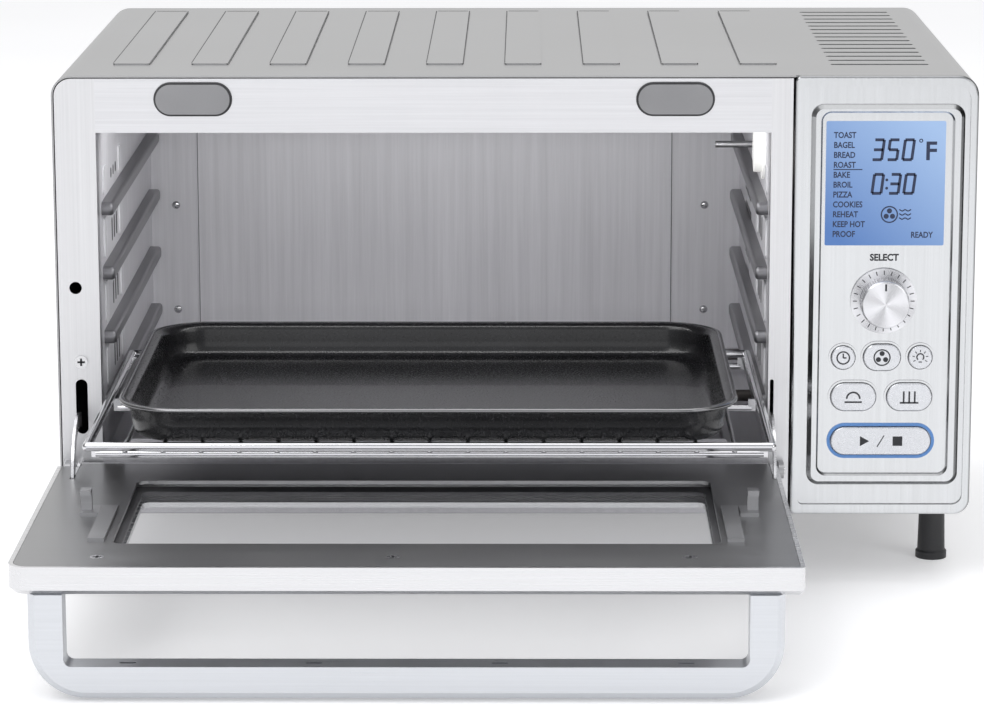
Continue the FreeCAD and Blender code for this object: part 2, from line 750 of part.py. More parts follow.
def door():
    outer_face = "door_inner_face - door_depth"
    floor = f"{outer_face} + door_skin"
    sheet_low = "door_inner_face - 2"

    frame = new_body("door_outer_frame")
    pad(frame, "XY", outer_face, "door_inner_face", [[
        ("door_left", "door_front", "top_corner"), ("door_right", "door_front", "3"),
        ("door_right", "door_rear"), ("door_left", "door_rear")]])
    outer_level = number(outer_face)
    rear = number("door_rear")

    def outside_edge(edge):
        return flat_at(edge, "z", outer_level) and not flat_at(edge, "y", rear)

    soften(frame, "Chamfer", "door_rim", outside_edge)
    pocket(frame, "XY", floor, "door_inner_face + 1", [[
        ("door_left + door_rim", "door_front + door_rim", "top_corner - door_rim"),
        ("door_right - door_rim", "door_front + door_rim", "1"),
        ("door_right - door_rim", "door_rear - door_rim"),
        ("door_left + door_rim", "door_rear - door_rim")]])
    pocket(frame, "XY", f"{outer_face} - 1", "door_inner_face", [
        rectangle("window_left + ledge", "window_right - ledge", "window_front + ledge",
                  "window_rear - ledge", "5")])
    pocket(frame, "XY", f"{outer_face} - 1", "door_inner_face + 1", [
        rectangle("door_left - 1", "arm_left + arm_thick + 1", "pivot_y - 6", "door_rear + 1"),
        rectangle("arm_right - 1", "door_right + 1", "pivot_y - 6", "door_rear + 1")])
    pocket(frame, "XY", f"{outer_face} - 1", f"{floor} + 1", [
        ("disc", "handle_left + handle_arm / 2", "door_front + handle_thick / 2", "2.1"),
        ("disc", "handle_right - handle_arm / 2", "door_front + handle_thick / 2", "2.1")])
    publish(frame, "door_outer_frame")

    inner = new_body("door_inner_frame")
    pad(inner, "XY", sheet_low, "door_inner_face", [
        [("door_left + door_rim + 0.2", "door_front + door_rim + 0.2", "top_corner - door_rim"),
         ("door_right - door_rim - 0.2", "door_front + door_rim + 0.2", "1"),
         ("door_right - door_rim - 0.2", "door_rear - door_rim - 0.2"),
         ("door_left + door_rim + 0.2", "door_rear - door_rim - 0.2")],
        rectangle("window_left", "window_right", "window_front", "window_rear", "6")]
        + [("disc", x, "door_screw_y", "1.6") for x in DOOR_SCREWS])
    pocket(inner, "XY", "door_inner_face - screw_sink", "door_inner_face + 1", [
        ("disc", x, "door_screw_y", "screw_head") for x in DOOR_SCREWS])
    pocket(inner, "XY", f"{sheet_low} - 1", "door_inner_face + 1", [
        rectangle("door_left", "arm_left + arm_thick + 1", "pivot_y - 6", "door_rear"),
        rectangle("arm_right - 1", "door_right", "pivot_y - 6", "door_rear")])
    pocket(inner, "XY", f"{sheet_low} - 1", "door_inner_face + 1", [
        rectangle("arm_left - 0.5", "arm_left + arm_thick + 0.5", "-44", "pivot_y - 5"),
        rectangle("arm_right - 0.5", "door_right", "-44", "pivot_y - 5")])
    publish(inner, "door_inner_frame")

    spread = rectangle("window_left - 10", "window_right + 10", "window_front - 10",
                       "window_rear + 10", "8")
    panel("inner_glass", "XY", f"{sheet_low} - glass", sheet_low, [spread])
    panel("glass_seal", "XY", f"{sheet_low} - glass - seal", f"{sheet_low} - glass", [
        spread,
        rectangle("window_left + 3", "window_right - 3", "window_front + 3", "window_rear - 3", "5")])
    panel("outer_glass", "XY", floor, f"{sheet_low} - glass - seal", [
        rectangle("window_left", "window_right", "window_front", "window_rear", "6")])

    handle = new_body("door_handle")
    pad(handle, "XZ", "door_front", "door_front + handle_thick", [[
        ("handle_left", outer_face), ("handle_left", "handle_low", "handle_corner"),
        ("handle_right", "handle_low", "handle_corner"), ("handle_right", outer_face),
        ("handle_right - handle_arm", outer_face),
        ("handle_right - handle_arm", "handle_low + handle_bar", "4"),
        ("handle_left + handle_arm", "handle_low + handle_bar", "4"),
        ("handle_left + handle_arm", outer_face)]])
    front = number("door_front")
    reach_out = number("(handle_right - handle_left) / 2 - handle_corner / 2")
    middle = number("(handle_right + handle_left) / 2")
    bar_top = number("handle_low + handle_bar / 2")

    def outer_edge(edge):
        centre = edge.CenterOfMass
        beside = abs(centre.x - middle) > reach_out + number("handle_corner / 2") - 1
        corner = abs(centre.x - middle) > reach_out and centre.z < bar_top
        below = centre.z < number("handle_low") + 1
        return flat_at(edge, "y", front) and (beside or corner or below)

    soften(handle, "Chamfer", "handle_bevel", outer_edge)
    drain_slots = [slot(f"(handle_left + handle_right) / 2 + {k} * 49",
                        "door_front + handle_thick / 2", "9", "2.4") for k in (-3, -1, 1, 3)]
    pocket(handle, "XY", "handle_low + handle_bar - 3", "handle_low + handle_bar + 1", drain_slots)
    pocket(handle, "XY", f"{outer_face} - 16", f"{outer_face} + 1", [
        ("disc", "handle_left + handle_arm / 2", "door_front + handle_thick / 2", "2"),
        ("disc", "handle_right - handle_arm / 2", "door_front + handle_thick / 2", "2")])
    publish(handle, "door_handle")

    screws = new_body("door_screws")
    for x in ("handle_left + handle_arm / 2", "handle_right - handle_arm / 2"):
        pad(screws, "XY", f"{outer_face} - 15", floor, [
            ("disc", x, "door_front + handle_thick / 2", "2")])
        pad(screws, "XY", floor, f"{floor} + 2.5", [
            ("disc", x, "door_front + handle_thick / 2", "screw_head")])
    for x in DOOR_SCREWS:
        pad(screws, "XY", "door_inner_face - screw_sink", "door_inner_face", [
            ("disc", x, "door_screw_y", "screw_head")])
        pad(screws, "XY", f"{floor} + 2", "door_inner_face - screw_sink", [
            ("disc", x, "door_screw_y", "1.5")])
    publish(screws, "door_screws")

    # each hook is a strip beside the window and a claw that stands clear of the crumb tray's way out
    hooks = new_body("rack_hooks")
    base = "door_inner_face"
    bend = "hook_end - 8"
    for strip, claw, left, right in (
            ("hook_left", "claw_left", "claw_left", "claw_foot_left"),
            ("hook_right", "claw_right", "claw_foot_right", "claw_right + claw_width")):
        pad(hooks, "YZ", strip, f"{strip} + hook_width", [
            rectangle("hook_start", "hook_end", base, f"{base} + 2")])
        pad(hooks, "YZ", left, right, [rectangle("hook_end - 18", "hook_end", base, f"{base} + 2")])
        pad(hooks, "YZ", claw, f"{claw} + claw_width", [[
            (f"{bend} - 3", f"{base} + 1"), (bend, f"{base} + 1"), (bend, f"{base} + 14"),
            (f"{bend} - 8", f"{base} + 14"), (f"{bend} - 8", f"{base} + 11"),
            (f"{bend} - 3", f"{base} + 11")]])
    publish(hooks, "rack_hooks")


def hinge_arms():
    """Each arm is a flat plate with a tail that is an arc about the hinge pin."""
    arms = []
    for name, low in (("arm_left", "arm_left"), ("arm_right", "arm_right")):
        high = f"{low} + arm_thick"
        pivot = ("pivot_y", "pivot_height")
        rim = cylinder(name + "_rim", "x", "arm_outer", low, high, pivot)
        core = cylinder(name + "_core", "x", "arm_inner", f"{low} - 1", f"{high} + 1", pivot)
        ring = cut(name + "_ring", rim, core)
        # only the part above the door's inner sheet and ahead of the tail's end is kept
        window = block(name + "_window", (f"{low} - 1", f"{high} + 1"),
                       ("pivot_y - 60", "pivot_y + 12"),
                       ("pivot_height + 3", "pivot_height + 60"))
        tail = doc.addObject("Part::Common", name + "_tail")
        tail.Base = ring
        tail.Tool = window
        root = block(name + "_root", (low, high), ("pivot_y - arm_outer", "pivot_y"),
                     ("pivot_height - 5", "pivot_height + 3.5"))
        boss = cylinder(name + "_boss", "x", "4.3", low, high, pivot)
        bore = cylinder(name + "_bore", "x", "pin_radius", f"{low} - 1", f"{high} + 1", pivot)
        arms.append(cut(name, joined(name + "_solid", [tail, root, boss]), bore))
    publish(grouped("hinge_arms", arms), "hinge_arms")
    pins = [cylinder("left_pin", "x", "pin_radius", "pin_left", "arm_left + arm_thick",
                     ("pivot_y", "pivot_height")),
            cylinder("right_pin", "x", "pin_radius", "arm_right", "pin_right",
                     ("pivot_y", "pivot_height"))]
    publish(grouped("hinge_pins", pins), "hinge_pins")


# ---------------------------------------------------------------- rack, pan and tray

def rack():
    back = "rack_front + rack_depth"
    level = "rack_level"
    low_rods = {"front": "rack_front + low_rod_inset", "middle": "rack_front + rack_depth / 2",
                "back": f"{back} - low_rod_inset"}
    rods = [
        cylinder("side_rod_left", "y", "rod", "rack_front", back, ("rack_left", level)),
        cylinder("side_rod_right", "y", "rod", "rack_front", back, ("rack_right", level)),
        cylinder("front_bar", "x", "rod", "rack_left", "rack_right", ("rack_front", level)),
        cylinder("back_bar", "x", "rod", "rack_left", "rack_right", (back, level))]
    rods += [cylinder(f"low_rod_{name}", "x", "low_rod", "rack_left + 4", "rack_right - 4",
                      (y, "rack_level - rack_drop")) for name, y in low_rods.items()]
    corners = []
    for x_name, x in (("left", "rack_left"), ("right", "rack_right")):
        for y_name, y in (("front", "rack_front"), ("back", back)):
            corner = doc.addObject("Part::Sphere", f"corner_{x_name}_{y_name}")
            bind(corner, "Radius", "rod")
            bind(corner, "Placement.Base.x", x)
            bind(corner, "Placement.Base.y", y)
            bind(corner, "Placement.Base.z", level)
            corners.append(corner)
    # the drops stop short of the guides, which the side rods rest on
    drops = []
    for name, y in low_rods.items():
        for side, x_range in (("left", ("rack_left + 1.7", "rack_left + 6")),
                              ("right", ("rack_right - 6", "rack_right - 1.7"))):
            drops.append(block(f"drop_{side}_{name}", x_range, (f"{y} - 1.5", f"{y} + 1.5"),
                               ("rack_level - rack_drop - 1.5", "rack_level - 0.5")))
    publish(joined("rack_frame", rods + corners + drops), "rack_frame")

    wires = [("disc", f"rack_left + 20 + {i} * (rack_right - rack_left - 40) / 16",
              "rack_level - 4 + wire", "wire") for i in range(17)]
    panel("rack_wires", "XZ", "rack_front + 5", f"{back} - 5", wires)


def roasting_pan():
    back = "pan_front + pan_depth"
    rim = "pan_floor + pan_height"
    lip = "pan_lip"
    pan = new_body("roasting_pan")
    pad(pan, "XY", "pan_floor", rim, [
        rectangle(f"pan_left + {lip}", f"pan_right - {lip}", f"pan_front + {lip}",
                  f"{back} - {lip}", f"pan_corner - {lip}")])
    floor_level = number("pan_floor")
    soften(pan, "Fillet", "3", lambda edge: flat_at(edge, "z", floor_level))
    pad(pan, "XY", f"{rim} - 2", rim, [
        rectangle("pan_left", "pan_right", "pan_front", back, "pan_corner")])
    pocket(pan, "XY", "pan_floor + 1.2", f"{rim} + 1", [
        rectangle(f"pan_left + {lip} + 1.2", f"pan_right - {lip} - 1.2", f"pan_front + {lip} + 1.2",
                  f"{back} - {lip} - 1.2", f"pan_corner - {lip} - 1.2")])
    publish(pan, "roasting_pan")


def crumb_tray():
    tray = new_body("crumb_tray")
    pad(tray, "XY", "tray_floor", "tray_floor + tray_wall", [
        rectangle("tray_left", "tray_right", "tray_front", "tray_back")])
    pocket(tray, "XY", "tray_floor + metal", "tray_floor + tray_wall + 1", [
        rectangle("tray_left + metal", "tray_right - metal", "tray_front + metal",
                  "tray_back - metal")])
    pad(tray, "XZ", "tray_front", "tray_front + metal", [
        rectangle("tray_left", "tray_right", "tray_floor", "tray_floor + tray_lip", "2")])
    publish(tray, "crumb_tray")


# ---------------------------------------------------------------- control column

BUTTONS = {
    "time_button": ("190", "94.2", "13.8", "13.8"),
    "fan_button": ("212.4", "94.4", "21.5", "15.6"),
    "light_button": ("234.5", "94.4", "13.8", "13.8"),
    "left_button": ("196.2", "71", "26.2", "16.4"),
    "right_button": ("228.6", "71", "26.2", "16.4"),
    "start_button": ("212.5", "44.8", "58", "16.4"),
}


def grown(button, growth):
    """Outline of a button made larger all round."""
    x, z, length, width = button
    if length == width:
        return ("disc", x, z, f"{length} / 2 + {growth}")
    return slot(x, z, f"{length} + 2 * {growth}", f"{width} + 2 * {growth}")


def fascia():
    right = "body_width / 2"
    body = new_body("control_fascia")
    pad(body, "XZ", "-2", "fascia_seat", [
        [("fascia_left", "fascia_low", "3"), (right, "fascia_low", "low_corner"),
         (right, "body_height", "top_corner"), ("fascia_left", "body_height", "3")]])
    front_level = -2
    soften(body, "Fillet", "1.4", lambda edge: flat_at(edge, "y", front_level))
    pocket(body, "XZ", "-3", "-0.4", [
        [("fascia_left + border", "fascia_low + border + 1.5", "3"),
         (f"{right} - border", "fascia_low + border + 1.5", "6"),
         (f"{right} - border", "body_height - border - 1.5", "8"),
         ("fascia_left + border", "body_height - border - 1.5", "3")]])
    pad(body, "XZ", "-pod_rise", "0", [rectangle("pod_left", "pod_right", "pod_low", "pod_top", "7")])
    pod_level = -number("pod_rise")
    soften(body, "Chamfer", "2.4", lambda edge: flat_at(edge, "y", pod_level))
    pocket(body, "XZ", "-pod_rise - 1", "-flat_rise", [
        rectangle("flat_left - 1.2", "flat_right + 1.2", "flat_low - 1.5", "flat_top + 0.8", "5")])

    def crest_inside(edge):
        centre = edge.CenterOfMass
        beside = number("flat_left - 2") < centre.x < number("flat_right + 2")
        between = number("flat_low - 2.2") < centre.z < number("flat_top + 1.6")
        return flat_at(edge, "y", pod_level) and beside and between

    soften(body, "Chamfer", "1", crest_inside)
    holes = [rectangle("display_left", "display_right", "display_low", "display_top", "1"),
             ("disc", "dial_x", "dial_level", "shaft_radius + 2")]
    holes += [grown(button, "button_gap") for button in BUTTONS.values()]
    pocket(body, "XZ", "-pod_rise - 1", "fascia_seat + 1", holes)
    publish(body, "control_fascia")

    panel("display_window", "XZ", "-flat_rise", "fascia_seat", [
        rectangle("display_left", "display_right", "display_low", "display_top", "1")])
    panel("display_module", "XZ", "fascia_seat", "board_y", [
        rectangle("display_left - 2", "display_right + 2", "display_low - 2", "display_top + 2")])
    panel("control_board", "XZ", "board_y", "board_y + board_thick", [
        rectangle("flat_left - 5", "flat_right + 5", "flat_low - 4", "flat_top + 2")])
    supports = new_body("board_supports")
    pad(supports, "XZ", "fascia_seat", "board_y", [
        ("disc", x, z, "2.5") for x in ("flat_left - 2", "flat_right + 2")
        for z in ("flat_low", "flat_low + 110")])
    pad(supports, "XY", "metal", "20", [
        rectangle("power_board_x - 1", "power_board_x + 2.6", y, f"{y} + 10")
        for y in ("power_front + 10", "power_back - 20")])
    publish(supports, "board_supports")
    panel("button_bezels", "XZ", "-flat_rise - 0.7", "-flat_rise", [
        grown(button, growth) for name, button in BUTTONS.items() if name != "start_button"
        for growth in ("1.5", "button_gap")])
    panel("start_light_ring", "XZ", "-flat_rise - 0.6", "-flat_rise", [
        grown(BUTTONS["start_button"], "2.2"), grown(BUTTONS["start_button"], "button_gap")])


def buttons():
    for name, button in BUTTONS.items():
        x, z = button[:2]
        body = new_body(name)
        pad(body, "XZ", "-button_front", "fascia_seat + 0.3", [grown(button, "0")])
        front_level = -number("button_front")
        soften(body, "Fillet", "0.8", lambda edge: flat_at(edge, "y", front_level))
        pad(body, "XZ", "fascia_seat + 0.3", "fascia_seat + 1.5", [grown(button, "1")])
        pad(body, "XZ", "fascia_seat + 1.5", "board_y - 3.7", [("disc", x, z, "2")])
        publish(body, name)
    switches = [rectangle(f"{x} - 3", f"{x} + 3", f"{z} - 3", f"{z} + 3")
                for x, z, length, width in BUTTONS.values()]
    panel("tact_switches", "XZ", "board_y - 2.1", "board_y", switches)


def selector():
    dial = ("dial_x", "dial_level")
    panel("rotary_encoder", "XZ", "board_y - 7", "board_y", [
        rectangle("dial_x - 6.5", "dial_x + 6.5", "dial_level - 6.5", "dial_level + 6.5"),
        ("disc", *dial, "shaft_radius + 0.05")])
    panel("selector_shaft", "XZ", "-dial_front + 3", "board_y - 1", [("disc", *dial, "shaft_radius")])
    panel("selector_skirt", "XZ", "-flat_rise - 2.1", "-flat_rise - 0.5", [
        ("disc", *dial, "dial_skirt"), ("disc", *dial, "shaft_radius")])
    knob = new_body("selector_knob")
    pad(knob, "XZ", "-dial_front", "-flat_rise - 2.1", [("disc", *dial, "dial_cap")])
    front_level = -number("dial_front")
    soften(knob, "Fillet", "1.2", lambda edge: flat_at(edge, "y", front_level))
    pocket(knob, "XZ", "-dial_front + 3", "0", [("disc", *dial, "shaft_radius")])
    publish(knob, "selector_knob")


def electronics():
    panel("power_board", "YZ", "power_board_x", "power_board_x + board_thick", [
        rectangle("power_front", "power_back", "power_low", "power_top")])
    face = "power_board_x + board_thick"
    items = [block("transformer", (face, "power_board_x + 30"), ("200", "250"), ("30", "75")),
             block("relay_a", (face, "power_board_x + 18"), ("100", "120"), ("180", "210")),
             block("relay_b", (face, "power_board_x + 18"), ("130", "150"), ("180", "210")),
             block("relay_c", (face, "power_board_x + 18"), ("160", "180"), ("180", "210")),
             block("heat_sink", (face, "power_board_x + 22"), ("210", "270"), ("110", "130")),
             cylinder("capacitor_a", "x", "8", face, "power_board_x + 25", ("120", "50")),
             cylinder("capacitor_b", "x", "6", face, "power_board_x + 20", ("150", "50")),
             block("terminal_block", ("gland_x - 14", "gland_x + 14"), ("302", "312"),
                   ("metal", "18"))]
    publish(grouped("power_components", items), "power_components")

    gland = new_body("cord_gland")
    bore = ("disc", "gland_x", "gland_level", "cord_bore")
    pad(gland, "XZ", "body_depth - 12", "body_depth", [
        ("disc", "gland_x", "gland_level", "gland_radius"), bore])
    pad(gland, "XZ", "body_depth", "body_depth + 2", [
        ("disc", "gland_x", "gland_level", "gland_radius + 3"), bore])
    pad(gland, "XZ", "body_depth + 2", "body_depth + gland_reach", [
        ("disc", "gland_x", "gland_level", "gland_radius - 1.5"), bore])
    publish(gland, "cord_gland")


def feet():
    legs = []
    for side, x in (("left", "-foot_x"), ("right", "foot_x")):
        for end, y in (("front", "foot_front"), ("back", "foot_back")):
            body = new_body(f"foot_{end}_{side}")
            turned(body, "XZ", [("free", ("0", "-foot_height"), ("foot_flange", "-foot_height"),
                                 ("foot_flange", "-foot_height + 4"),
                                 ("foot_radius", "-foot_height + 5"),
                                 ("foot_radius - 0.8", "-1.5"), ("foot_radius + 1", "0"),
                                 ("0", "0"))], "V_Axis")
            bind(body, "Placement.Base.x", x)
            bind(body, "Placement.Base.y", y)
            legs.append(body)
    publish(grouped("feet", legs), "feet")


casing()
front_frame()
cavity()
heating()
convection_fan()
oven_light()
door()
hinge_arms()
rack()
roasting_pan()
crumb_tray()
fascia()
buttons()
selector()
electronics()
feet()
doc.recompute()

for item in doc.Objects:
    if "Invalid" in item.State or "Error" in item.State:
        raise RuntimeError(f"{item.Label} failed: {item.State}")
for part in PARTS:
    if part.Shape.isNull() or not part.Shape.isValid():
        raise RuntimeError(f"{part.Label} has no valid shape")

os.makedirs("parts", exist_ok=True)
for part in PARTS:
    part.Shape.exportStep(os.path.join("parts", part.Label + ".step"))
    box = part.Shape.BoundBox
    print(f"{part.Label:22s} {len(part.Shape.Solids):3d} solids  {part.Shape.Volume / 1000:9.2f} cm3  "
          f"x {box.XMin:7.1f} {box.XMax:7.1f}  y {box.YMin:7.1f} {box.YMax:7.1f}  "
          f"z {box.ZMin:7.1f} {box.ZMax:7.1f}")
print(len(PARTS), "parts")
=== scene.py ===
import math

import bmesh
import bpy
from mathutils import Matrix, Vector


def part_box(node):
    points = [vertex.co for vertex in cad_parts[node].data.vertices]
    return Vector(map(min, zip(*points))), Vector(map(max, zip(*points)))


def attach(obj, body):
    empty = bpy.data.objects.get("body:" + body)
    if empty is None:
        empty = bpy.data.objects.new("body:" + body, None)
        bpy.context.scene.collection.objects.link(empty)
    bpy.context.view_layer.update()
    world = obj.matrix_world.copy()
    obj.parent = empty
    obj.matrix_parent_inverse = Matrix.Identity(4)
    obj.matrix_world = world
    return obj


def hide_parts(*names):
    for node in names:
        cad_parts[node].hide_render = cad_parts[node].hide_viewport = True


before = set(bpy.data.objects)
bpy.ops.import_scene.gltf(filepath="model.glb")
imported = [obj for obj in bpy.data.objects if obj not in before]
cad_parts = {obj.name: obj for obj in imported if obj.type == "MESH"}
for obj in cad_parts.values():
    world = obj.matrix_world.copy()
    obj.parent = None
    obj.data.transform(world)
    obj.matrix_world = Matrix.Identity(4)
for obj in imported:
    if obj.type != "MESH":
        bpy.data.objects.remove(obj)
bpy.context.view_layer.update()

MM = 0.001

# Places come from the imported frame. FRONT is the body's front plane, BASE its underside.
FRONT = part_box("lintel")[0][1]
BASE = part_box("base_pan")[0][2]

# Noise mostly lies between these two values, so ramps over it run from one to the other.
NOISE_LOW = 0.3
NOISE_HIGH = 0.7

MARK_THICK = 0.06 * MM
# thickness of the thin plates that paint shade in screw recesses and rib creases
SHADE_MARK_THICK = 0.05 * MM
LETTER_STANDOFF = 0.08 * MM


# ---------------------------------------------------------------- materials

def set_stops(node, stops):
    """Give a colour ramp its stops, each a position and a colour."""
    ends = node.color_ramp.elements
    for i, (position, colour) in enumerate(stops):
        stop = ends[i] if i < 2 else ends.new(position)
        stop.position = position
        stop.color = (*colour, 1.0)


class Shade:
    """A node material: one principled shader with helpers for noise, streaks and bump."""

    def __init__(self, name, **sockets):
        self.material = bpy.data.materials.new(name)
        self.material.use_nodes = True
        self.tree = self.material.node_tree
        self.shader = self.tree.nodes["Principled BSDF"]
        for socket, value in sockets.items():
            self.shader.inputs[socket.replace("_", " ")].default_value = value
        self.place = self.tree.nodes.new("ShaderNodeTexCoord")

    def link(self, source, target):
        self.tree.links.new(source, target)

    def noise(self, scale, detail=3.0, rough=0.55):
        """Noise over object space; scale is cycles per metre along X, Y and Z."""
        mapping = self.tree.nodes.new("ShaderNodeMapping")
        mapping.inputs["Scale"].default_value = scale
        self.link(self.place.outputs["Object"], mapping.inputs["Vector"])
        noise = self.tree.nodes.new("ShaderNodeTexNoise")
        noise.inputs["Scale"].default_value = 1.0
        noise.inputs["Detail"].default_value = detail
        noise.inputs["Roughness"].default_value = rough
        self.link(mapping.outputs["Vector"], noise.inputs["Vector"])
        return noise.outputs["Fac"]

    def math(self, kind, first, second):
        node = self.tree.nodes.new("ShaderNodeMath")
        node.operation = kind
        for socket, value in zip(node.inputs, (first, second)):
            if isinstance(value, (int, float)):
                socket.default_value = value
            else:
                self.link(value, socket)
        return node.outputs["Value"]

    def ramp(self, factor, stops):
        """Colour ramp over a factor; stops are (position, colour)."""
        node = self.tree.nodes.new("ShaderNodeValToRGB")
        set_stops(node, stops)
        self.link(factor, node.inputs["Fac"])
        return node.outputs["Color"]

    def blend(self, factor, low, high):
        """Colour that goes from one tone to another over the range where noise mostly lies."""
        return self.ramp(factor, [(NOISE_LOW, low), (NOISE_HIGH, high)])

    def span(self, factor, low, high):
        """Remap the range where noise mostly lies to run from low to high."""
        node = self.tree.nodes.new("ShaderNodeMapRange")
        node.inputs["From Min"].default_value = NOISE_LOW
        node.inputs["From Max"].default_value = NOISE_HIGH
        node.inputs["To Min"].default_value = low
        node.inputs["To Max"].default_value = high
        self.link(factor, node.inputs["Value"])
        return node.outputs["Result"]

    def painted_side_shade(self, tone, right=0.0, left=0.0, up=0.0, down=0.0):
        """Painted shade: darken a colour on the faces that look to one side, as if those faces lay in
        shadow.
        """
        split = self.tree.nodes.new("ShaderNodeSeparateXYZ")
        self.link(self.place.outputs["Normal"], split.inputs["Vector"])
        total = 1.0
        for axis, sign, loss in (("X", 1, right), ("X", -1, left), ("Z", 1, up), ("Z", -1, down)):
            toward = self.math("MAXIMUM", self.math("MULTIPLY", split.outputs[axis], sign), 0.0)
            total = self.math("SUBTRACT", total, self.math("MULTIPLY", toward, loss))
        product = self.tree.nodes.new("ShaderNodeVectorMath")
        product.operation = "MULTIPLY"
        self.link(tone, product.inputs[0])
        self.link(total, product.inputs[1])
        return product.outputs["Vector"]

    def colour(self, output):
        self.link(output, self.shader.inputs["Base Color"])

    def roughness(self, output):
        self.link(output, self.shader.inputs["Roughness"])

    def bump(self, height, strength, depth=0.0002):
        node = self.tree.nodes.new("ShaderNodeBump")
        node.inputs["Strength"].default_value = strength
        node.inputs["Distance"].default_value = depth
        self.link(height, node.inputs["Height"])
        self.link(node.outputs["Normal"], self.shader.inputs["Normal"])


def tinted(colour, factor):
    return tuple(min(1.0, part * factor) for part in colour)


def spread(colour, contrast):
    """The colour darkened, and lightened, by the same share."""
    return tinted(colour, 1 - contrast), tinted(colour, 1 + contrast)


def brushed(name, colour, along, contrast=0.08, rough=(0.26, 0.4), fine=900, metallic=1.0, grain=0.12,
            sides=None):
    """Metal brushed along one axis (0, 1 or 2), with fainter broad clouding over it."""
    shade = Shade(name, Metallic=metallic)
    cycles_along = 6
    cloud_cycles = 9
    streak_share = 0.75
    scale = [fine] * 3
    scale[along] = cycles_along
    streak = shade.noise(scale, 4.0, 0.7)
    cloud = shade.noise([cloud_cycles] * 3, 2.0)
    mixed = shade.math("ADD", shade.math("MULTIPLY", streak, streak_share),
                       shade.math("MULTIPLY", cloud, 1 - streak_share))
    tone = shade.blend(mixed, *spread(colour, contrast))
    # sides, when given, paints shade on the faces that look right, left, up or down
    shade.colour(shade.painted_side_shade(tone, **sides) if sides else tone)
    shade.roughness(shade.span(mixed, *rough))
    shade.bump(streak, grain)
    return shade.material


def mottled(name, colour, rough=(0.4, 0.55), contrast=0.06, size=400, grain=0.15, **sockets):
    """Moulded, cast or painted surface: fine even grain with slight colour variation."""
    shade = Shade(name, **sockets)
    cloud_cycles = 25
    grainy = shade.noise([size] * 3, 3.0)
    cloud = shade.noise([cloud_cycles] * 3, 2.0)
    shade.colour(shade.blend(cloud, *spread(colour, contrast)))
    shade.roughness(shade.span(grainy, *rough))
    shade.bump(grainy, grain)
    return shade.material


def glazing(name, colour, alpha):
    """Clear pane or bulb with a faint smear over it."""
    shade = Shade(name, Alpha=alpha, Coat_Weight=0.3)
    smear = shade.noise((30, 30, 30), 3.0)
    shade.colour(shade.blend(smear, tinted(colour, 0.96), colour))
    shade.roughness(shade.span(smear, 0.03, 0.09))
    return shade.material


def backlit(name, low, high):
    """Display glow, deeper at its lower left and paler at its upper right."""
    shade = Shade(name, Roughness=0.12, Emission_Strength=0.9, Coat_Weight=0.4, Specular_IOR_Level=0.2)
    corner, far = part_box("display_window")
    split = shade.tree.nodes.new("ShaderNodeSeparateXYZ")
    shade.link(shade.place.outputs["Object"], split.inputs["Vector"])
    parts = []
    for axis, weight in ((0, 0.45), (2, 0.55)):
        start = shade.math("SUBTRACT", split.outputs[axis], corner[axis])
        parts.append(shade.math("MULTIPLY", start, weight / (far[axis] - corner[axis])))
    slope = shade.math("ADD", parts[0], parts[1])
    soft = shade.math("ADD", slope, shade.math("MULTIPLY", shade.noise((60, 60, 60)), 0.04))
    low_end = 0.1
    high_end = 0.95
    unlit = 0.12
    tone = shade.ramp(soft, [(low_end, low), (high_end, high)])
    shade.colour(shade.ramp(soft, [(low_end, tinted(low, unlit)), (high_end, tinted(high, unlit))]))
    shade.link(tone, shade.shader.inputs["Emission Color"])
    return shade.material


def spun(name, colour, centre):
    """Metal turned on a lathe: fine rings round an axis along Y, and rays of light across them."""
    shade = Shade(name, Metallic=1.0)
    split = shade.tree.nodes.new("ShaderNodeSeparateXYZ")
    shade.link(shade.place.outputs["Object"], split.inputs["Vector"])
    across = shade.math("SUBTRACT", split.outputs["X"], centre[0])
    up = shade.math("SUBTRACT", split.outputs["Z"], centre[1])
    radius = shade.math("SQRT", shade.math("ADD", shade.math("MULTIPLY", across, across),
                                           shade.math("MULTIPLY", up, up)), 0)
    ring_density = 9000
    ray_count = 4
    rings = shade.math("SINE", shade.math("MULTIPLY", radius, ring_density), 0)
    angle = shade.math("ARCTAN2", up, across)
    fan = shade.math("SINE", shade.math("MULTIPLY", angle, ray_count), 0)
    light = shade.math("ADD", shade.math("MULTIPLY", rings, 0.1), shade.math("MULTIPLY", fan, 0.22))
    factor = shade.math("ADD", light, 0.5)
    shade.colour(shade.ramp(factor, [(0.2, tinted(colour, 0.72)), (0.8, tinted(colour, 1.15))]))
    shade.roughness(shade.span(factor, 0.22, 0.34))
    shade.bump(rings, 0.15)
    return shade.material


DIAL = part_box("selector_knob")
DIAL_X = (DIAL[0][0] + DIAL[1][0]) / 2
DIAL_Z = (DIAL[0][2] + DIAL[1][2]) / 2

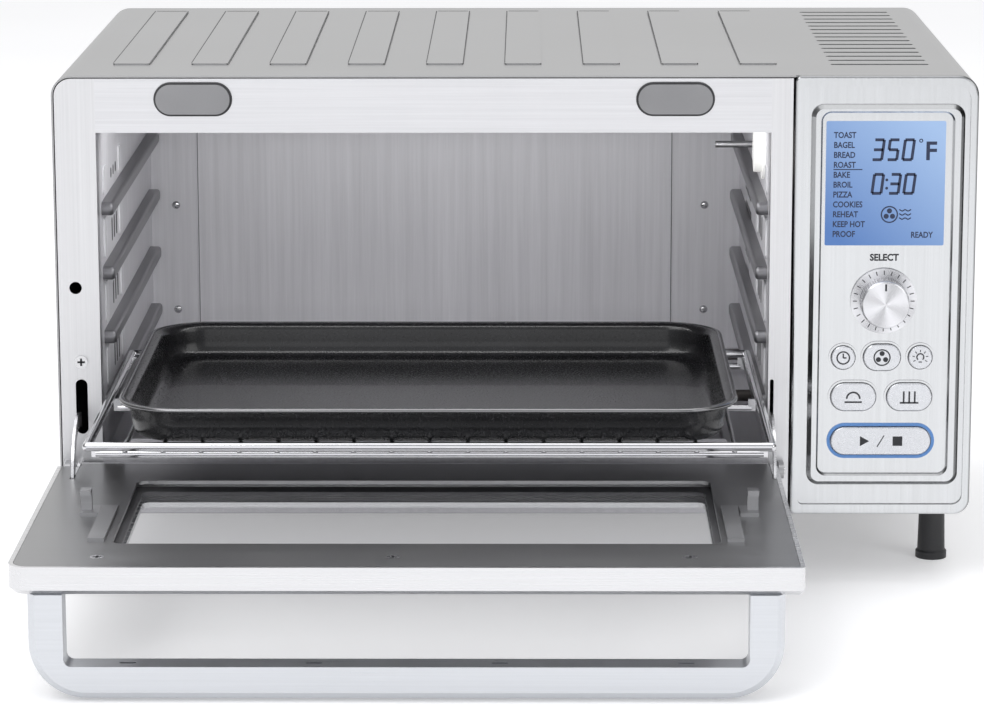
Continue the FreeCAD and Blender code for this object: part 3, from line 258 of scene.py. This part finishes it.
LOOKS = {
    "cover": brushed("brushed_cover", (0.38, 0.38, 0.383), 0, 0.14, (0.30, 0.42)),
    "plain": brushed("mill_steel", (0.42, 0.42, 0.43), 0, 0.08, (0.35, 0.5)),
    "front": brushed("satin_front", (0.66, 0.66, 0.67), 2, 0.08, (0.3, 0.42), 700),
    "lintel": brushed("satin_lintel", (0.66, 0.66, 0.675), 0, 0.08, (0.3, 0.42), 700),
    # the fascia gets painted shade: faces that look right, up or left are darkened
    "fascia": brushed("bright_fascia", (0.59, 0.60, 0.61), 2, 0.09, (0.14, 0.24), 800,
                      sides={"right": 0.95, "left": 0.5, "up": 0.7, "down": 0.1}),
    "cavity": brushed("aluminised_steel", (0.74, 0.735, 0.76), 2, 0.10, (0.4, 0.55), 260, 0.25),
    "floor": brushed("aluminised_floor", (0.56, 0.555, 0.58), 1, 0.12, (0.34, 0.5), 260, 0.5),
    "guide": brushed("pressed_guide", (0.24, 0.238, 0.25), 1, 0.12, (0.3, 0.42), 260, 0.8),
    # a lighter copy of the cavity steel: painted highlight on the raised lands
    "land": brushed("land_painted_highlight", (0.80, 0.80, 0.82), 2, 0.06, (0.3, 0.42), 300, 0.3),
    "door": brushed("brushed_door", (0.32, 0.32, 0.325), 0, 0.14, (0.28, 0.42)),
    "rim": brushed("bright_rim", (0.66, 0.66, 0.67), 0, 0.06, (0.2, 0.32)),
    "handle": brushed("satin_handle", (0.60, 0.615, 0.64), 0, 0.05, (0.26, 0.36)),
    "chrome": brushed("chromed_wire", (0.62, 0.62, 0.635), 1, 0.03, (0.06, 0.14), 300, grain=0.03),
    "screw": brushed("plated_screw", (0.62, 0.62, 0.63), 0, 0.05, (0.2, 0.3)),
    "knob": spun("spun_knob", (0.70, 0.70, 0.72), (DIAL_X, DIAL_Z)),
    "enamel": mottled("black_enamel", (0.008, 0.008, 0.009), (0.2, 0.3), 0.3, 900, 0.05, Coat_Weight=0.15,
                      Specular_IOR_Level=0.35),
    "black": mottled("black_plastic", (0.02, 0.02, 0.022), (0.4, 0.55), 0.15, 700),
    "soft_grey": mottled("grey_silicone", (0.25, 0.25, 0.258), (0.5, 0.65), 0.06, 600),
    "lamp": mottled("frosted_lens", (0.86, 0.86, 0.84), (0.25, 0.4), 0.04, 400,
                    Emission_Color=(1, 1, 0.97, 1), Emission_Strength=0.25),
    # lighter metal than the enamel, for the band that paints the highlight along the pan's rim
    "pan_edge": brushed("rim_painted_highlight", (0.20, 0.20, 0.205), 0, 0.25, (0.12, 0.25), 400, grain=0.05),
    "seal": mottled("dark_gasket", (0.07, 0.07, 0.075), (0.6, 0.75), 0.1, 700),
    "ceramic": mottled("white_ceramic", (0.78, 0.76, 0.70), (0.5, 0.65), 0.05, 500),
    "element": mottled("element_tube", (0.10, 0.09, 0.085), (0.45, 0.6), 0.25, 350, Metallic=0.6),
    "wool": mottled("mineral_wool", (0.72, 0.68, 0.58), (0.85, 0.95), 0.15, 900, 0.6),
    "board": mottled("circuit_board", (0.03, 0.18, 0.09), (0.35, 0.5), 0.2, 600),
    "button": mottled("silver_button", (0.62, 0.63, 0.655), (0.24, 0.34), 0.03, 900, 0.05, Metallic=0.75),
    # near-black: real print, and painted shade in the screws' cross recesses
    "ink": mottled("print_and_recess_shade", (0.015, 0.016, 0.02), (0.5, 0.6), 0.1, 800),
    "digit": mottled("display_digit", (0.01, 0.02, 0.06), (0.4, 0.5), 0.1, 800),
    "blue_ring": mottled("lit_blue", (0.08, 0.20, 0.44), (0.25, 0.35), 0.06, 600,
                         Emission_Color=(0.06, 0.2, 0.6, 1), Emission_Strength=0.12),
    # near-black: real seams and the pads' dark lips, and painted shade in the rib creases and the vent slots
    "crease": mottled("dark_seam_and_painted_shade", (0.055, 0.055, 0.058), (0.5, 0.6), 0.1, 500, Metallic=0.4),
    "glass": glazing("door_glazing", (0.80, 0.80, 0.84), 0.05),
    "bulb": glazing("bulb_glass", (0.95, 0.93, 0.88), 0.45),
    "display": backlit("display_glow", (0.085, 0.20, 0.50), (0.36, 0.52, 0.80)),
}

NODE_LOOKS = {
    "cover": ["outer_cover"],
    "plain": ["rear_panel", "rack_hooks", "base_pan", "divider_wall", "hinge_brackets", "temperature_probe",
              "fan_wheel", "fan_motor"],
    "front": ["left_stile", "right_stile"],
    "lintel": ["lintel"],
    "fascia": ["control_fascia", "button_bezels"],
    "cavity": ["cavity_wrapper", "cavity_back_wall", "fan_grille"],
    "floor": ["cavity_floor_panel", "crumb_tray"],
    "guide": ["rack_guides"],
    "door": ["door_inner_frame"],
    "rim": ["door_outer_frame", "hinge_arms"],
    "handle": ["door_handle"],
    "chrome": ["rack_frame", "rack_wires"],
    "screw": ["frame_screws", "door_screws", "hinge_pins", "selector_shaft"],
    "knob": ["selector_knob", "selector_skirt"],
    "enamel": ["roasting_pan"],
    "black": ["feet", "cord_gland", "board_supports", "tact_switches", "rotary_encoder",
              "power_components"],
    "soft_grey": ["door_bumpers"],
    "seal": ["glass_seal"],
    "ceramic": ["element_insulators", "lamp_socket"],
    "element": ["heating_elements"],
    "wool": ["insulation_blanket"],
    "board": ["control_board", "power_board"],
    "button": ["time_button", "fan_button", "light_button", "left_button", "right_button",
               "start_button"],
    "blue_ring": ["start_light_ring"],
    "glass": ["inner_glass", "outer_glass"],
    "bulb": ["oven_lamp"],
    "lamp": ["lamp_cover"],
    "display": ["display_window", "display_module"],
}


def paint(thing, look):
    thing.data.materials.clear()
    thing.data.materials.append(LOOKS[look])


for look, nodes in NODE_LOOKS.items():
    for node in nodes:
        paint(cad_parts[node], look)


# ---------------------------------------------------------------- mesh helpers

def show(thing):
    bpy.context.scene.collection.objects.link(thing)


def piece(name, points, faces, body, look, smooth=False):
    """A mesh piece in the part's own frame, in metres, riding on a body."""
    mesh = bpy.data.meshes.new(name)
    mesh.from_pydata(points, [], faces)
    edit = bmesh.new()
    edit.from_mesh(mesh)
    bmesh.ops.recalc_face_normals(edit, faces=edit.faces)
    edit.to_mesh(mesh)
    edit.free()
    for face in mesh.polygons:
        face.use_smooth = smooth
    thing = bpy.data.objects.new(name, mesh)
    show(thing)
    paint(thing, look)
    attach(thing, body)
    return thing


def rounded_loop(left, right, front, back, radius, steps=8):
    """Points of a rounded rectangle, anticlockwise."""
    points = []
    corners = ((right - radius, front + radius, -90), (right - radius, back - radius, 0),
               (left + radius, back - radius, 90), (left + radius, front + radius, 180))
    for centre_x, centre_y, start in corners:
        for i in range(steps + 1):
            angle = math.radians(start + 90 * i / steps)
            points.append((centre_x + radius * math.cos(angle), centre_y + radius * math.sin(angle)))
    return points


def skin(loops, closed_ends=True):
    """Faces between equal loops of points, with a cap on the first and the last."""
    points = [point for loop in loops for point in loop]
    count = len(loops[0])
    faces = []
    for i in range(len(loops) - 1):
        for j in range(count):
            k = (j + 1) % count
            faces.append((i * count + j, i * count + k, (i + 1) * count + k, (i + 1) * count + j))
    if closed_ends:
        faces.append(tuple(range(count)))
        faces.append(tuple((len(loops) - 1) * count + j for j in range(count)))
    return points, faces


def upright_plate(outline, face, thick):
    """Prism of an outline in X and Z, standing on the plane y = face and reaching towards -Y."""
    loops = [[(x, face, z) for x, z in outline], [(x, face - thick, z) for x, z in outline]]
    return skin(loops)


def flat_plate(outline, level, thick):
    """Prism of an outline in X and Y, lying on z = level."""
    loops = [[(x, y, level) for x, y in outline], [(x, y, level + thick) for x, y in outline]]
    return skin(loops)


def merged(shapes):
    """One mesh from several (points, faces) shapes."""
    points = []
    faces = []
    for some_points, some_faces in shapes:
        shift = len(points)
        points += some_points
        faces += [tuple(index + shift for index in face) for face in some_faces]
    return points, faces


def oblong(x, y, half_x, half_y):
    """Corners of a rectangle round (x, y)."""
    return [(x - half_x, y - half_y), (x + half_x, y - half_y),
            (x + half_x, y + half_y), (x - half_x, y + half_y)]


def bar(x, z, to_x, to_z, width):
    """Corners of a straight stroke from one point to another."""
    along = Vector((to_x - x, to_z - z)).normalized() * width / 2
    side = Vector((-along.y, along.x))
    return [(x - side.x, z - side.y), (to_x - side.x, to_z - side.y),
            (to_x + side.x, to_z + side.y), (x + side.x, z + side.y)]


def disc_outline(x, z, radius, count=24):
    return [(x + radius * math.cos(2 * math.pi * i / count), z + radius * math.sin(2 * math.pi * i / count))
            for i in range(count)]


def fan_blades(x, z, reach, radius):
    """Three discs round a centre, the sign for a fan."""
    return [disc_outline(x + reach * math.cos(math.radians(turn)), z + reach * math.sin(math.radians(turn)),
                         radius, 14) for turn in (90, 210, 330)]


def arc_strokes(x, z, radius, start, end, width, count=16):
    """An arc drawn as short strokes; the angles are in degrees."""
    ends = [(x + radius * math.cos(math.radians(start + (end - start) * i / count)),
             z + radius * math.sin(math.radians(start + (end - start) * i / count)))
            for i in range(count + 1)]
    return [bar(*ends[i], *ends[i + 1], width) for i in range(count)]


def flat_marks(name, outlines, face, body, look):
    """Flat marks on an upright face."""
    plates = [upright_plate(outline, face, MARK_THICK) for outline in outlines]
    return piece(name, *merged(plates), body, look)


def lettering(name, text, x, z, size, face, body, look, align="LEFT", bold=0.0, narrow=1.0):
    """Upright flat text with its baseline at (x, z), standing just clear of a face."""
    curve = bpy.data.curves.new(name, "FONT")
    curve.body = text
    curve.size = size
    curve.align_x = align
    curve.offset = bold
    curve.resolution_u = 3
    maker = bpy.data.objects.new(name + "_maker", curve)
    show(maker)
    bpy.context.view_layer.update()
    mesh = bpy.data.meshes.new_from_object(maker)
    bpy.data.objects.remove(maker)
    mesh.transform(Matrix.Translation((x, face - LETTER_STANDOFF, z)) @ Matrix.Rotation(math.pi / 2, 4, "X")
                   @ Matrix.Scale(narrow, 4, (1, 0, 0)))
    thing = bpy.data.objects.new(name, mesh)
    show(thing)
    paint(thing, look)
    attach(thing, body)
    return thing


# ---------------------------------------------------------------- roasting pan

def roasting_pan():
    """Deep-drawn enamelled pan: rolled rim, sloped walls and a rounded floor edge."""
    low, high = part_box("roasting_pan")
    floor = low[2]
    tall = high[2] - floor
    corner = 35 * MM
    least_corner = 6 * MM

    def rings(section):
        loops = []
        for inset, share in section:
            edge = inset * MM
            outline = rounded_loop(low[0] + edge, high[0] - edge, low[1] + edge, high[1] - edge,
                                   max(corner - edge, least_corner), 10)
            loops.append([(x, y, floor + share * tall) for x, y in outline])
        return loops

    # inset from the rim's edge and share of the height, from the underside round to the floor
    profile = [(60, 0.0), (15, 0.0), (11.5, 0.02), (9, 0.10), (7.6, 0.24), (6.6, 0.55), (6.0, 0.84),
               (5.4, 0.885), (3.4, 0.885), (1.2, 0.87), (0.3, 0.90), (0.0, 0.945), (0.5, 0.985), (1.8, 1.0),
               (4.2, 0.995), (6.2, 0.965), (7.4, 0.90), (8.0, 0.78), (8.6, 0.50), (9.6, 0.24), (11.4, 0.12),
               (14, 0.075), (18, 0.062), (60, 0.062)]
    thing = piece("enamel_pan", *skin(rings(profile)), "pan", "enamel", smooth=True)
    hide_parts("roasting_pan")
    # a closed band of lighter metal over the top of the rim, a painted highlight along the rim
    bright = [(0.25, 0.915), (-0.05, 0.945), (0.45, 0.992), (1.8, 1.008), (3.0, 1.006), (1.8, 0.985)]
    loops = rings(bright)
    piece("pan_rim_highlight", *skin(loops + [loops[0]], closed_ends=False), "pan", "pan_edge", smooth=True)


# ---------------------------------------------------------------- top cover

def cover_details():
    """Dark strips at the back end and along the sides of each rib, painted shade of the creases where the
    ribs rise from the cover. The right-hand ribs show one side.
    """
    ribs_left = -234.3 * MM
    pitch = 45.7 * MM
    width = 21.4 * MM
    start = FRONT + 48 * MM
    end = FRONT + 307 * MM
    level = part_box("outer_cover")[1][2]
    rib_count = 9
    two_sided_ribs = 5
    side_thick = 0.04 * MM
    front_half = 0.25 * MM
    back_half = 0.35 * MM
    near = start + 3 * MM
    far = end - 1 * MM
    shapes = []
    for k in range(rib_count):
        left = ribs_left + k * pitch
        right = left + width
        shapes.append(flat_plate([(left + 1 * MM, end - 2.4 * MM), (right - 1 * MM, end - 2.4 * MM),
                                  (right - 1 * MM, end - 0.4 * MM), (left + 1 * MM, end - 0.4 * MM)],
                                 level, SHADE_MARK_THICK))
        sides = (left, right) if k < two_sided_ribs else (left,)
        for edge in sides:
            shapes.append(flat_plate([(edge - front_half, near), (edge + front_half, near),
                                      (edge + back_half, far), (edge - back_half, far)],
                                     level, side_thick))
    # painted shade along the ribs
    piece("rib_painted_shade", *merged(shapes), "housing", "crease")


# ---------------------------------------------------------------- screws and small front parts

def cross_recess(x, y, level, size):
    """Dark cross of a screw head lying on z = level: painted shade standing for the recess."""
    half = size / 2
    thin = size / 7
    return [flat_plate(oblong(x, y, half, thin), level, SHADE_MARK_THICK),
            flat_plate(oblong(x, y, thin, half), level, SHADE_MARK_THICK)]


def screw_details():
    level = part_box("door_screws")[1][2]
    row = FRONT - 215 * MM
    cross_size = 4.6 * MM
    places = [(x * MM, row) for x in (-219.7, -63.5, 93.3)]
    shapes = [shape for x, y in places for shape in cross_recess(x, y, level, cross_size)]
    # painted shade in the door screws' recesses
    piece("door_screw_crosses", *merged(shapes), "door", "ink")

    low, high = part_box("frame_screws")
    x = (low[0] + high[0]) / 2
    z = (low[2] + high[2]) / 2
    half = 2.2 * MM
    stroke = 1.2 * MM
    # painted shade in the stile screw's recess
    strokes = [bar(x - half, z, x + half, z, stroke), bar(x, z - half, x, z + half, stroke)]
    flat_marks("stile_screw_cross", strokes, low[1], "housing", "ink")


# ---------------------------------------------------------------- control column

SEGMENTS = {"0": "abcdef", "3": "abgcd", "5": "afgcd"}


def seven_segment(sign, x, z, wide, tall, stroke, slant=0.12):
    """Strokes of one slanted seven-segment sign with its lower left corner at (x, z)."""
    ends = {"a": ((0, 1), (1, 1)), "b": ((1, 1), (1, 0.5)), "c": ((1, 0.5), (1, 0)), "d": ((0, 0), (1, 0)),
            "e": ((0, 0.5), (0, 0)), "f": ((0, 1), (0, 0.5)), "g": ((0, 0.5), (1, 0.5))}
    strokes = []
    for letter in SEGMENTS[sign]:
        points = []
        for across, up in ends[letter]:
            points += [x + across * wide + slant * up * tall, z + up * tall]
        strokes.append(bar(*points, stroke))
    return strokes


def display_details():
    """Mode words, the two readings and the fan sign on the display window."""
    low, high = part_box("display_window")
    face = low[1]
    left, bottom = low[0], low[2]
    wide, tall = high[0] - low[0], high[2] - low[2]
    modes = ["TOAST", "BAGEL", "BREAD", "ROAST", "BAKE", "BROIL", "PIZZA", "COOKIES", "REHEAT", "KEEP HOT",
             "PROOF"]
    chosen = 3
    margin = 4.4 * MM
    size = 4.8 * MM
    bold = 0.13 * MM
    narrow = 0.84
    digit_wide = 5.2 * MM
    digit_stroke = 1.7 * MM

    def row_level(row):
        """Baseline of a word; the first row and the pitch are shares of the window's height."""
        return bottom + tall * (0.865 - 0.0795 * row)

    for i, word in enumerate(modes):
        lettering(f"mode_word_{i}", word, left + margin, row_level(i), size, face, "housing", "digit",
                  bold=bold, narrow=narrow)
    level = row_level(chosen) - 1.1 * MM
    marks = [bar(left + margin, level, left + 21 * MM, level, 0.6 * MM)]
    x = left + wide * 0.39
    z = bottom + tall * 0.69
    for i, sign in enumerate("350"):
        marks += seven_segment(sign, x + i * 8.6 * MM, z, digit_wide, 11.5 * MM, digit_stroke)
    marks += arc_strokes(x + 27.6 * MM, z + 11 * MM, 0.9 * MM, 0, 360, 0.6 * MM)
    z = bottom + tall * 0.42
    for sign, shift in (("0", 0), ("3", 9.8), ("0", 18.2)):
        marks += seven_segment(sign, x + shift * MM, z, digit_wide, 11 * MM, digit_stroke)
    marks += [disc_outline(x + 8.4 * MM, z + up * MM, 0.85 * MM, 12) for up in (3.0, 7.8)]
    fan_x = left + wide * 0.54
    fan_z = bottom + tall * 0.25
    marks += arc_strokes(fan_x, fan_z, 4.6 * MM, 0, 360, 0.8 * MM, 28)
    marks += fan_blades(fan_x, fan_z, 2.1 * MM, 1.5 * MM)
    for row in range(3):
        level = fan_z + (row - 1) * 2.4 * MM
        for step in range(4):
            begin = fan_x + (5.6 + 1.7 * step) * MM
            rise = 0.5 * MM if step % 2 else -0.5 * MM
            marks.append(bar(begin, level - rise, begin + 1.7 * MM, level + rise, 0.7 * MM))
    flat_marks("display_marks", marks, face, "housing", "digit")
    lettering("display_unit", "F", x + 29.8 * MM, bottom + tall * 0.69, 15 * MM, face, "housing", "digit",
              bold=0.3 * MM)
    lettering("display_ready", "READY", left + wide - 19 * MM, bottom + 4.6 * MM, size, face,
              "housing", "digit", bold=bold, narrow=narrow)


def fascia_details():
    """The dial's label, ticks and pointer, and the ribs round its grip."""
    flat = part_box("button_bezels")[1][1]
    lettering("dial_label", "SELECT", DIAL_X, DIAL_Z + 23.4 * MM, 5.4 * MM, flat, "housing", "ink", "CENTER",
              0.2 * MM, 0.94)
    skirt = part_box("selector_skirt")
    ticks = []
    tick_count = 24
    tick_from = 15.4
    tick_to = 17.8
    for i in range(tick_count):
        angle = math.radians(360 / tick_count * i)
        direction = Vector((math.cos(angle), math.sin(angle)))
        inner = direction * tick_from * MM
        outer = direction * tick_to * MM
        ticks.append(bar(DIAL_X + inner.x, DIAL_Z + inner.y, DIAL_X + outer.x, DIAL_Z + outer.y, 0.55 * MM))
    flat_marks("dial_ticks", ticks, skirt[0][1], "selector", "ink")
    flat_marks("dial_pointer", [bar(DIAL_X, DIAL_Z + 8.2 * MM, DIAL_X, DIAL_Z + 12.2 * MM, 1.1 * MM)],
            DIAL[0][1], "selector", "ink")
    grip = []
    rib_count = 60
    radius = 13.85 * MM
    for i in range(rib_count):
        angle = 2 * math.pi * i / rib_count
        x = DIAL_X + radius * math.cos(angle)
        z = DIAL_Z + radius * math.sin(angle)
        loops = [[(px, y, pz) for px, pz in disc_outline(x, z, 0.3 * MM, 6)]
                 for y in (DIAL[1][1] - 1 * MM, DIAL[0][1] + 2.2 * MM)]
        grip.append(skin(loops))
    piece("knob_grip", *merged(grip), "selector", "screw")


def button_icons():
    """A plain sign on the face of each button, riding with it."""
    def middle(node):
        low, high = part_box(node)
        return (low[0] + high[0]) / 2, (low[2] + high[2]) / 2, low[1]

    x, z, face = middle("time_button")
    flat_marks("time_icon", arc_strokes(x, z, 3.6 * MM, 0, 360, 0.85 * MM, 24)
            + [bar(x, z, x, z + 2.6 * MM, 0.8 * MM), bar(x, z, x + 1.9 * MM, z, 0.8 * MM)],
            face, "time_button_body", "ink")

    x, z, face = middle("fan_button")
    blades = fan_blades(x, z, 2.4 * MM, 1.5 * MM)
    flat_marks("fan_icon", blades + arc_strokes(x, z, 4.6 * MM, 0, 360, 0.8 * MM, 24), face,
            "fan_button_body", "ink")

    x, z, face = middle("light_button")
    rays = []
    for turn in range(-30, 211, 40):
        way = Vector((math.cos(math.radians(turn)), math.sin(math.radians(turn))))
        rays.append(bar(x + way.x * 3.2 * MM, z + way.y * 3.2 * MM,
                        x + way.x * 4.6 * MM, z + way.y * 4.6 * MM, 0.5 * MM))
    flat_marks("light_icon", arc_strokes(x, z + 0.3 * MM, 2 * MM, -50, 230, 0.8 * MM)
            + [bar(x - 1 * MM, z - 2.6 * MM, x + 1 * MM, z - 2.6 * MM, 0.6 * MM)] + rays,
            face, "light_button_body", "ink")

    x, z, face = middle("left_button")
    flat_marks("left_icon", [bar(x - 5 * MM, z - 3 * MM, x + 5 * MM, z - 3 * MM, 1 * MM)]
            + arc_strokes(x, z - 1 * MM, 3.8 * MM, 0, 180, 1 * MM), face, "left_button_body", "ink")

    x, z, face = middle("right_button")
    flat_marks("right_icon", [bar(x + step * MM, z - 3.4 * MM, x + step * MM, z + 3.4 * MM, 1 * MM)
                           for step in (-3.2, 0, 3.2)]
            + [bar(x - 5.4 * MM, z - 3.4 * MM, x + 5.4 * MM, z - 3.4 * MM, 1 * MM)],
            face, "right_button_body", "ink")

    x, z, face = middle("start_button")
    flat_marks("start_icon", [[(x - 12 * MM, z - 3 * MM), (x - 6.6 * MM, z), (x - 12 * MM, z + 3 * MM)],
                           bar(x - 2 * MM, z - 3.4 * MM, x + 2 * MM, z + 3.4 * MM, 0.6 * MM),
                           [(x + 7 * MM, z - 2.8 * MM), (x + 12.6 * MM, z - 2.8 * MM),
                            (x + 12.6 * MM, z + 2.8 * MM), (x + 7 * MM, z + 2.8 * MM)]],
            face, "start_button_body", "ink")


# ---------------------------------------------------------------- cavity

def back_wall_details():
    """Two seams and two columns of rivets on the back wall."""
    low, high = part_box("cavity_back_wall")
    face = low[1]
    end_gap = 12 * MM
    seams = [bar(x, low[2] + end_gap, x, high[2] - end_gap, 0.9 * MM) for x in (-209 * MM, 102 * MM)]
    flat_marks("back_wall_seams", seams, face + 1.3 * MM, "housing", "crease")
    # distance back from the wall's foremost plane, and radius, of each ring of a rivet's head
    head = ((1.5, 2.6), (0.9, 2.2), (0.5, 1.0))
    rivets = []
    for x in (-224 * MM, 124 * MM):
        for z in (BASE + 60 * MM, BASE + 130 * MM, BASE + 205 * MM):
            rivets.append(skin([[(px, face + back * MM, pz)
                                 for px, pz in disc_outline(x, z, radius * MM, 16)]
                                for back, radius in head]))
    piece("back_wall_rivets", *merged(rivets), "housing", "screw", smooth=True)


def side_wall_details():
    """Raised lands, in a lighter copy of the wall steel that paints a highlight on them, and dark
    round-ended sheets for the vents, painted shade for the dark inside each slot, between the rack guides on
    both side walls.
    """
    wall_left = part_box("cavity_wrapper")[0][0] + 1 * MM
    wall_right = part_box("cavity_wrapper")[1][0] - 1 * MM
    crests = [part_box("rack_guides")[0][2] + 8 * MM + 38 * MM * row for row in range(4)]
    land_wide = 13
    vent_wide = 4.5
    lands = []
    slots = []
    for wall, inward in ((wall_left, 1), (wall_right, -1)):
        for row, crest in enumerate(crests):
            tall = 24 * MM if row < 3 else 16 * MM
            for y in (30, 112):
                outline = rounded_loop(FRONT + y * MM, FRONT + (y + land_wide) * MM, crest + 3 * MM,
                                       crest + 3 * MM + tall, 2.4 * MM, 4)
                lands.append(skin([[(wall, py, pz) for py, pz in outline],
                                   [(wall + inward * 0.9 * MM, py, pz) for py, pz in outline]]))
            for y in (72, 84, 96):
                outline = rounded_loop(FRONT + y * MM, FRONT + (y + vent_wide) * MM, crest + 6 * MM,
                                       crest + tall - 4 * MM, 2.2 * MM, 4)
                slots.append(skin([[(wall, py, pz) for py, pz in outline],
                                   [(wall + inward * 0.15 * MM, py, pz) for py, pz in outline]]))
    # lands: raised, with a painted highlight; vents: painted shade for the dark inside each slot
    piece("side_wall_lands", *merged(lands), "housing", "land")
    piece("side_wall_vents", *merged(slots), "housing", "crease")


def pad_rims():
    """Dark lip round each closing pad."""
    low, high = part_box("door_bumpers")
    long_side = 42.4 * MM
    shapes = []
    for left in (low[0], high[0] - long_side):
        loops = []
        for grow, out in ((1.3, 0.0), (1.3, 0.7), (0.9, 1.0), (0.05, 1.0), (0.05, 0.0)):
            reach = grow * MM
            half = (high[2] - low[2]) / 2 + reach
            outline = rounded_loop(left - reach, left + long_side + reach, low[2] - reach, high[2] + reach,
                                   half - 0.01 * MM, 10)
            loops.append([(x, FRONT - out * MM, z) for x, z in outline])
        shapes.append(skin(loops + [loops[0]], closed_ends=False))
    piece("pad_rims", *merged(shapes), "housing", "crease")


# ---------------------------------------------------------------- studio

def studio_floor():
    """Plain pale floor with a faint glow of its own."""
    mesh = bpy.data.meshes.new("studio_floor")
    mesh.from_pydata([(-6, -6, 0), (6, -6, 0), (6, 6, 0), (-6, 6, 0)], [], [(0, 1, 2, 3)])
    floor = bpy.data.objects.new("studio_floor", mesh)
    show(floor)
    shade = Shade("pale_floor", Roughness=0.9, Emission_Color=(1, 1, 1, 1), Emission_Strength=0.27)
    shade.colour(shade.blend(shade.noise((3, 3, 3)), (0.83, 0.83, 0.84), (0.85, 0.85, 0.86)))
    floor.data.materials.append(shade.material)


def world_ramp(tree, source, stops):
    """Colour ramp over one part of a direction, which runs from -1 to 1."""
    shift = tree.nodes.new("ShaderNodeMapRange")
    shift.inputs["From Min"].default_value = -1.0
    tree.links.new(source, shift.inputs["Value"])
    node = tree.nodes.new("ShaderNodeValToRGB")
    tree.links.new(shift.outputs["Result"], node.inputs["Fac"])
    set_stops(node, stops)
    return node.outputs["Color"]


def studio_world():
    """White surround, dimmer in front of the object and much darker at both sides."""
    world = bpy.data.worlds.new("studio_world")
    bpy.context.scene.world = world
    world.use_nodes = True
    tree = world.node_tree
    place = tree.nodes.new("ShaderNodeTexCoord")
    split = tree.nodes.new("ShaderNodeSeparateXYZ")
    tree.links.new(place.outputs["Generated"], split.inputs["Vector"])
    depth = world_ramp(tree, split.outputs["Y"], [(0.0, (0.62, 0.63, 0.66)), (0.75, (1, 1, 1))])
    # dark flags at both sides give the metal its contrast
    flag_levels = ((0.05, 0.35), (0.3, 1.0), (0.7, 1.0), (0.95, 0.12))
    flags = world_ramp(tree, split.outputs["X"],
                       [(position, (level,) * 3) for position, level in flag_levels])
    product = tree.nodes.new("ShaderNodeVectorMath")
    product.operation = "MULTIPLY"
    tree.links.new(depth, product.inputs[0])
    tree.links.new(flags, product.inputs[1])
    background = tree.nodes["Background"]
    background.inputs["Strength"].default_value = 0.95
    tree.links.new(product.outputs["Vector"], background.inputs["Color"])


def studio_lights():
    """Soft area lights, and a narrow strip behind the lintel that lights the cavity."""
    strip_height = 0.02
    for name, place, size, power, target in (
            ("key", (-1.2, -1.8, 2.2), 1.6, 30, (0, -0.1, 0.15)),
            ("fill", (1.8, -1.6, 1.2), 1.4, 12, (0, 0, 0.15)),
            ("front", (-0.1, -2.6, 0.7), 1.0, 3, (-0.05, 0.2, 0.15)),
            ("overhead", (0, 0.3, 2.4), 2.2, 22, (0, 0, 0.2)),
            ("inside", (-0.045, FRONT + 0.022, BASE + 0.2305), 0.34, 0.33, (-0.045, 0.25, 0.13))):
        light = bpy.data.lights.new(name, "AREA")
        light.energy = power
        light.size = size
        if name == "inside":
            light.shape = "RECTANGLE"
            light.size_y = strip_height
        lamp = bpy.data.objects.new(name, light)
        lamp.location = place
        lamp.rotation_euler = (Vector(target) - Vector(place)).to_track_quat("-Z", "Y").to_euler()
        show(lamp)


def camera():
    """Long lens from in front, a little above and looking slightly down."""
    pitch = math.radians(12.007)
    yaw = math.radians(-0.539)
    roll = math.radians(-0.106)
    forward = Vector((math.sin(yaw) * math.cos(pitch), math.cos(yaw) * math.cos(pitch), -math.sin(pitch)))
    level = Vector((math.cos(yaw), -math.sin(yaw), 0))
    above = level.cross(forward)
    right = level * math.cos(roll) + above * math.sin(roll)
    up = above * math.cos(roll) - level * math.sin(roll)
    lens = bpy.data.cameras.new("view")
    lens.sensor_width = 36
    lens.lens = 137.68
    lens.clip_end = 50
    thing = bpy.data.objects.new("view", lens)
    turn = Matrix((right, up, -forward)).transposed()
    place = Vector((7.0 * MM, FRONT - 2132.7 * MM, BASE + 547.6 * MM))
    thing.matrix_world = Matrix.Translation(place) @ turn.to_4x4()
    show(thing)
    bpy.context.scene.camera = thing
    bpy.context.scene.view_settings.view_transform = "Standard"


roasting_pan()
cover_details()
screw_details()
display_details()
fascia_details()
button_icons()
back_wall_details()
side_wall_details()
pad_rims()
studio_floor()
studio_world()
studio_lights()
camera()
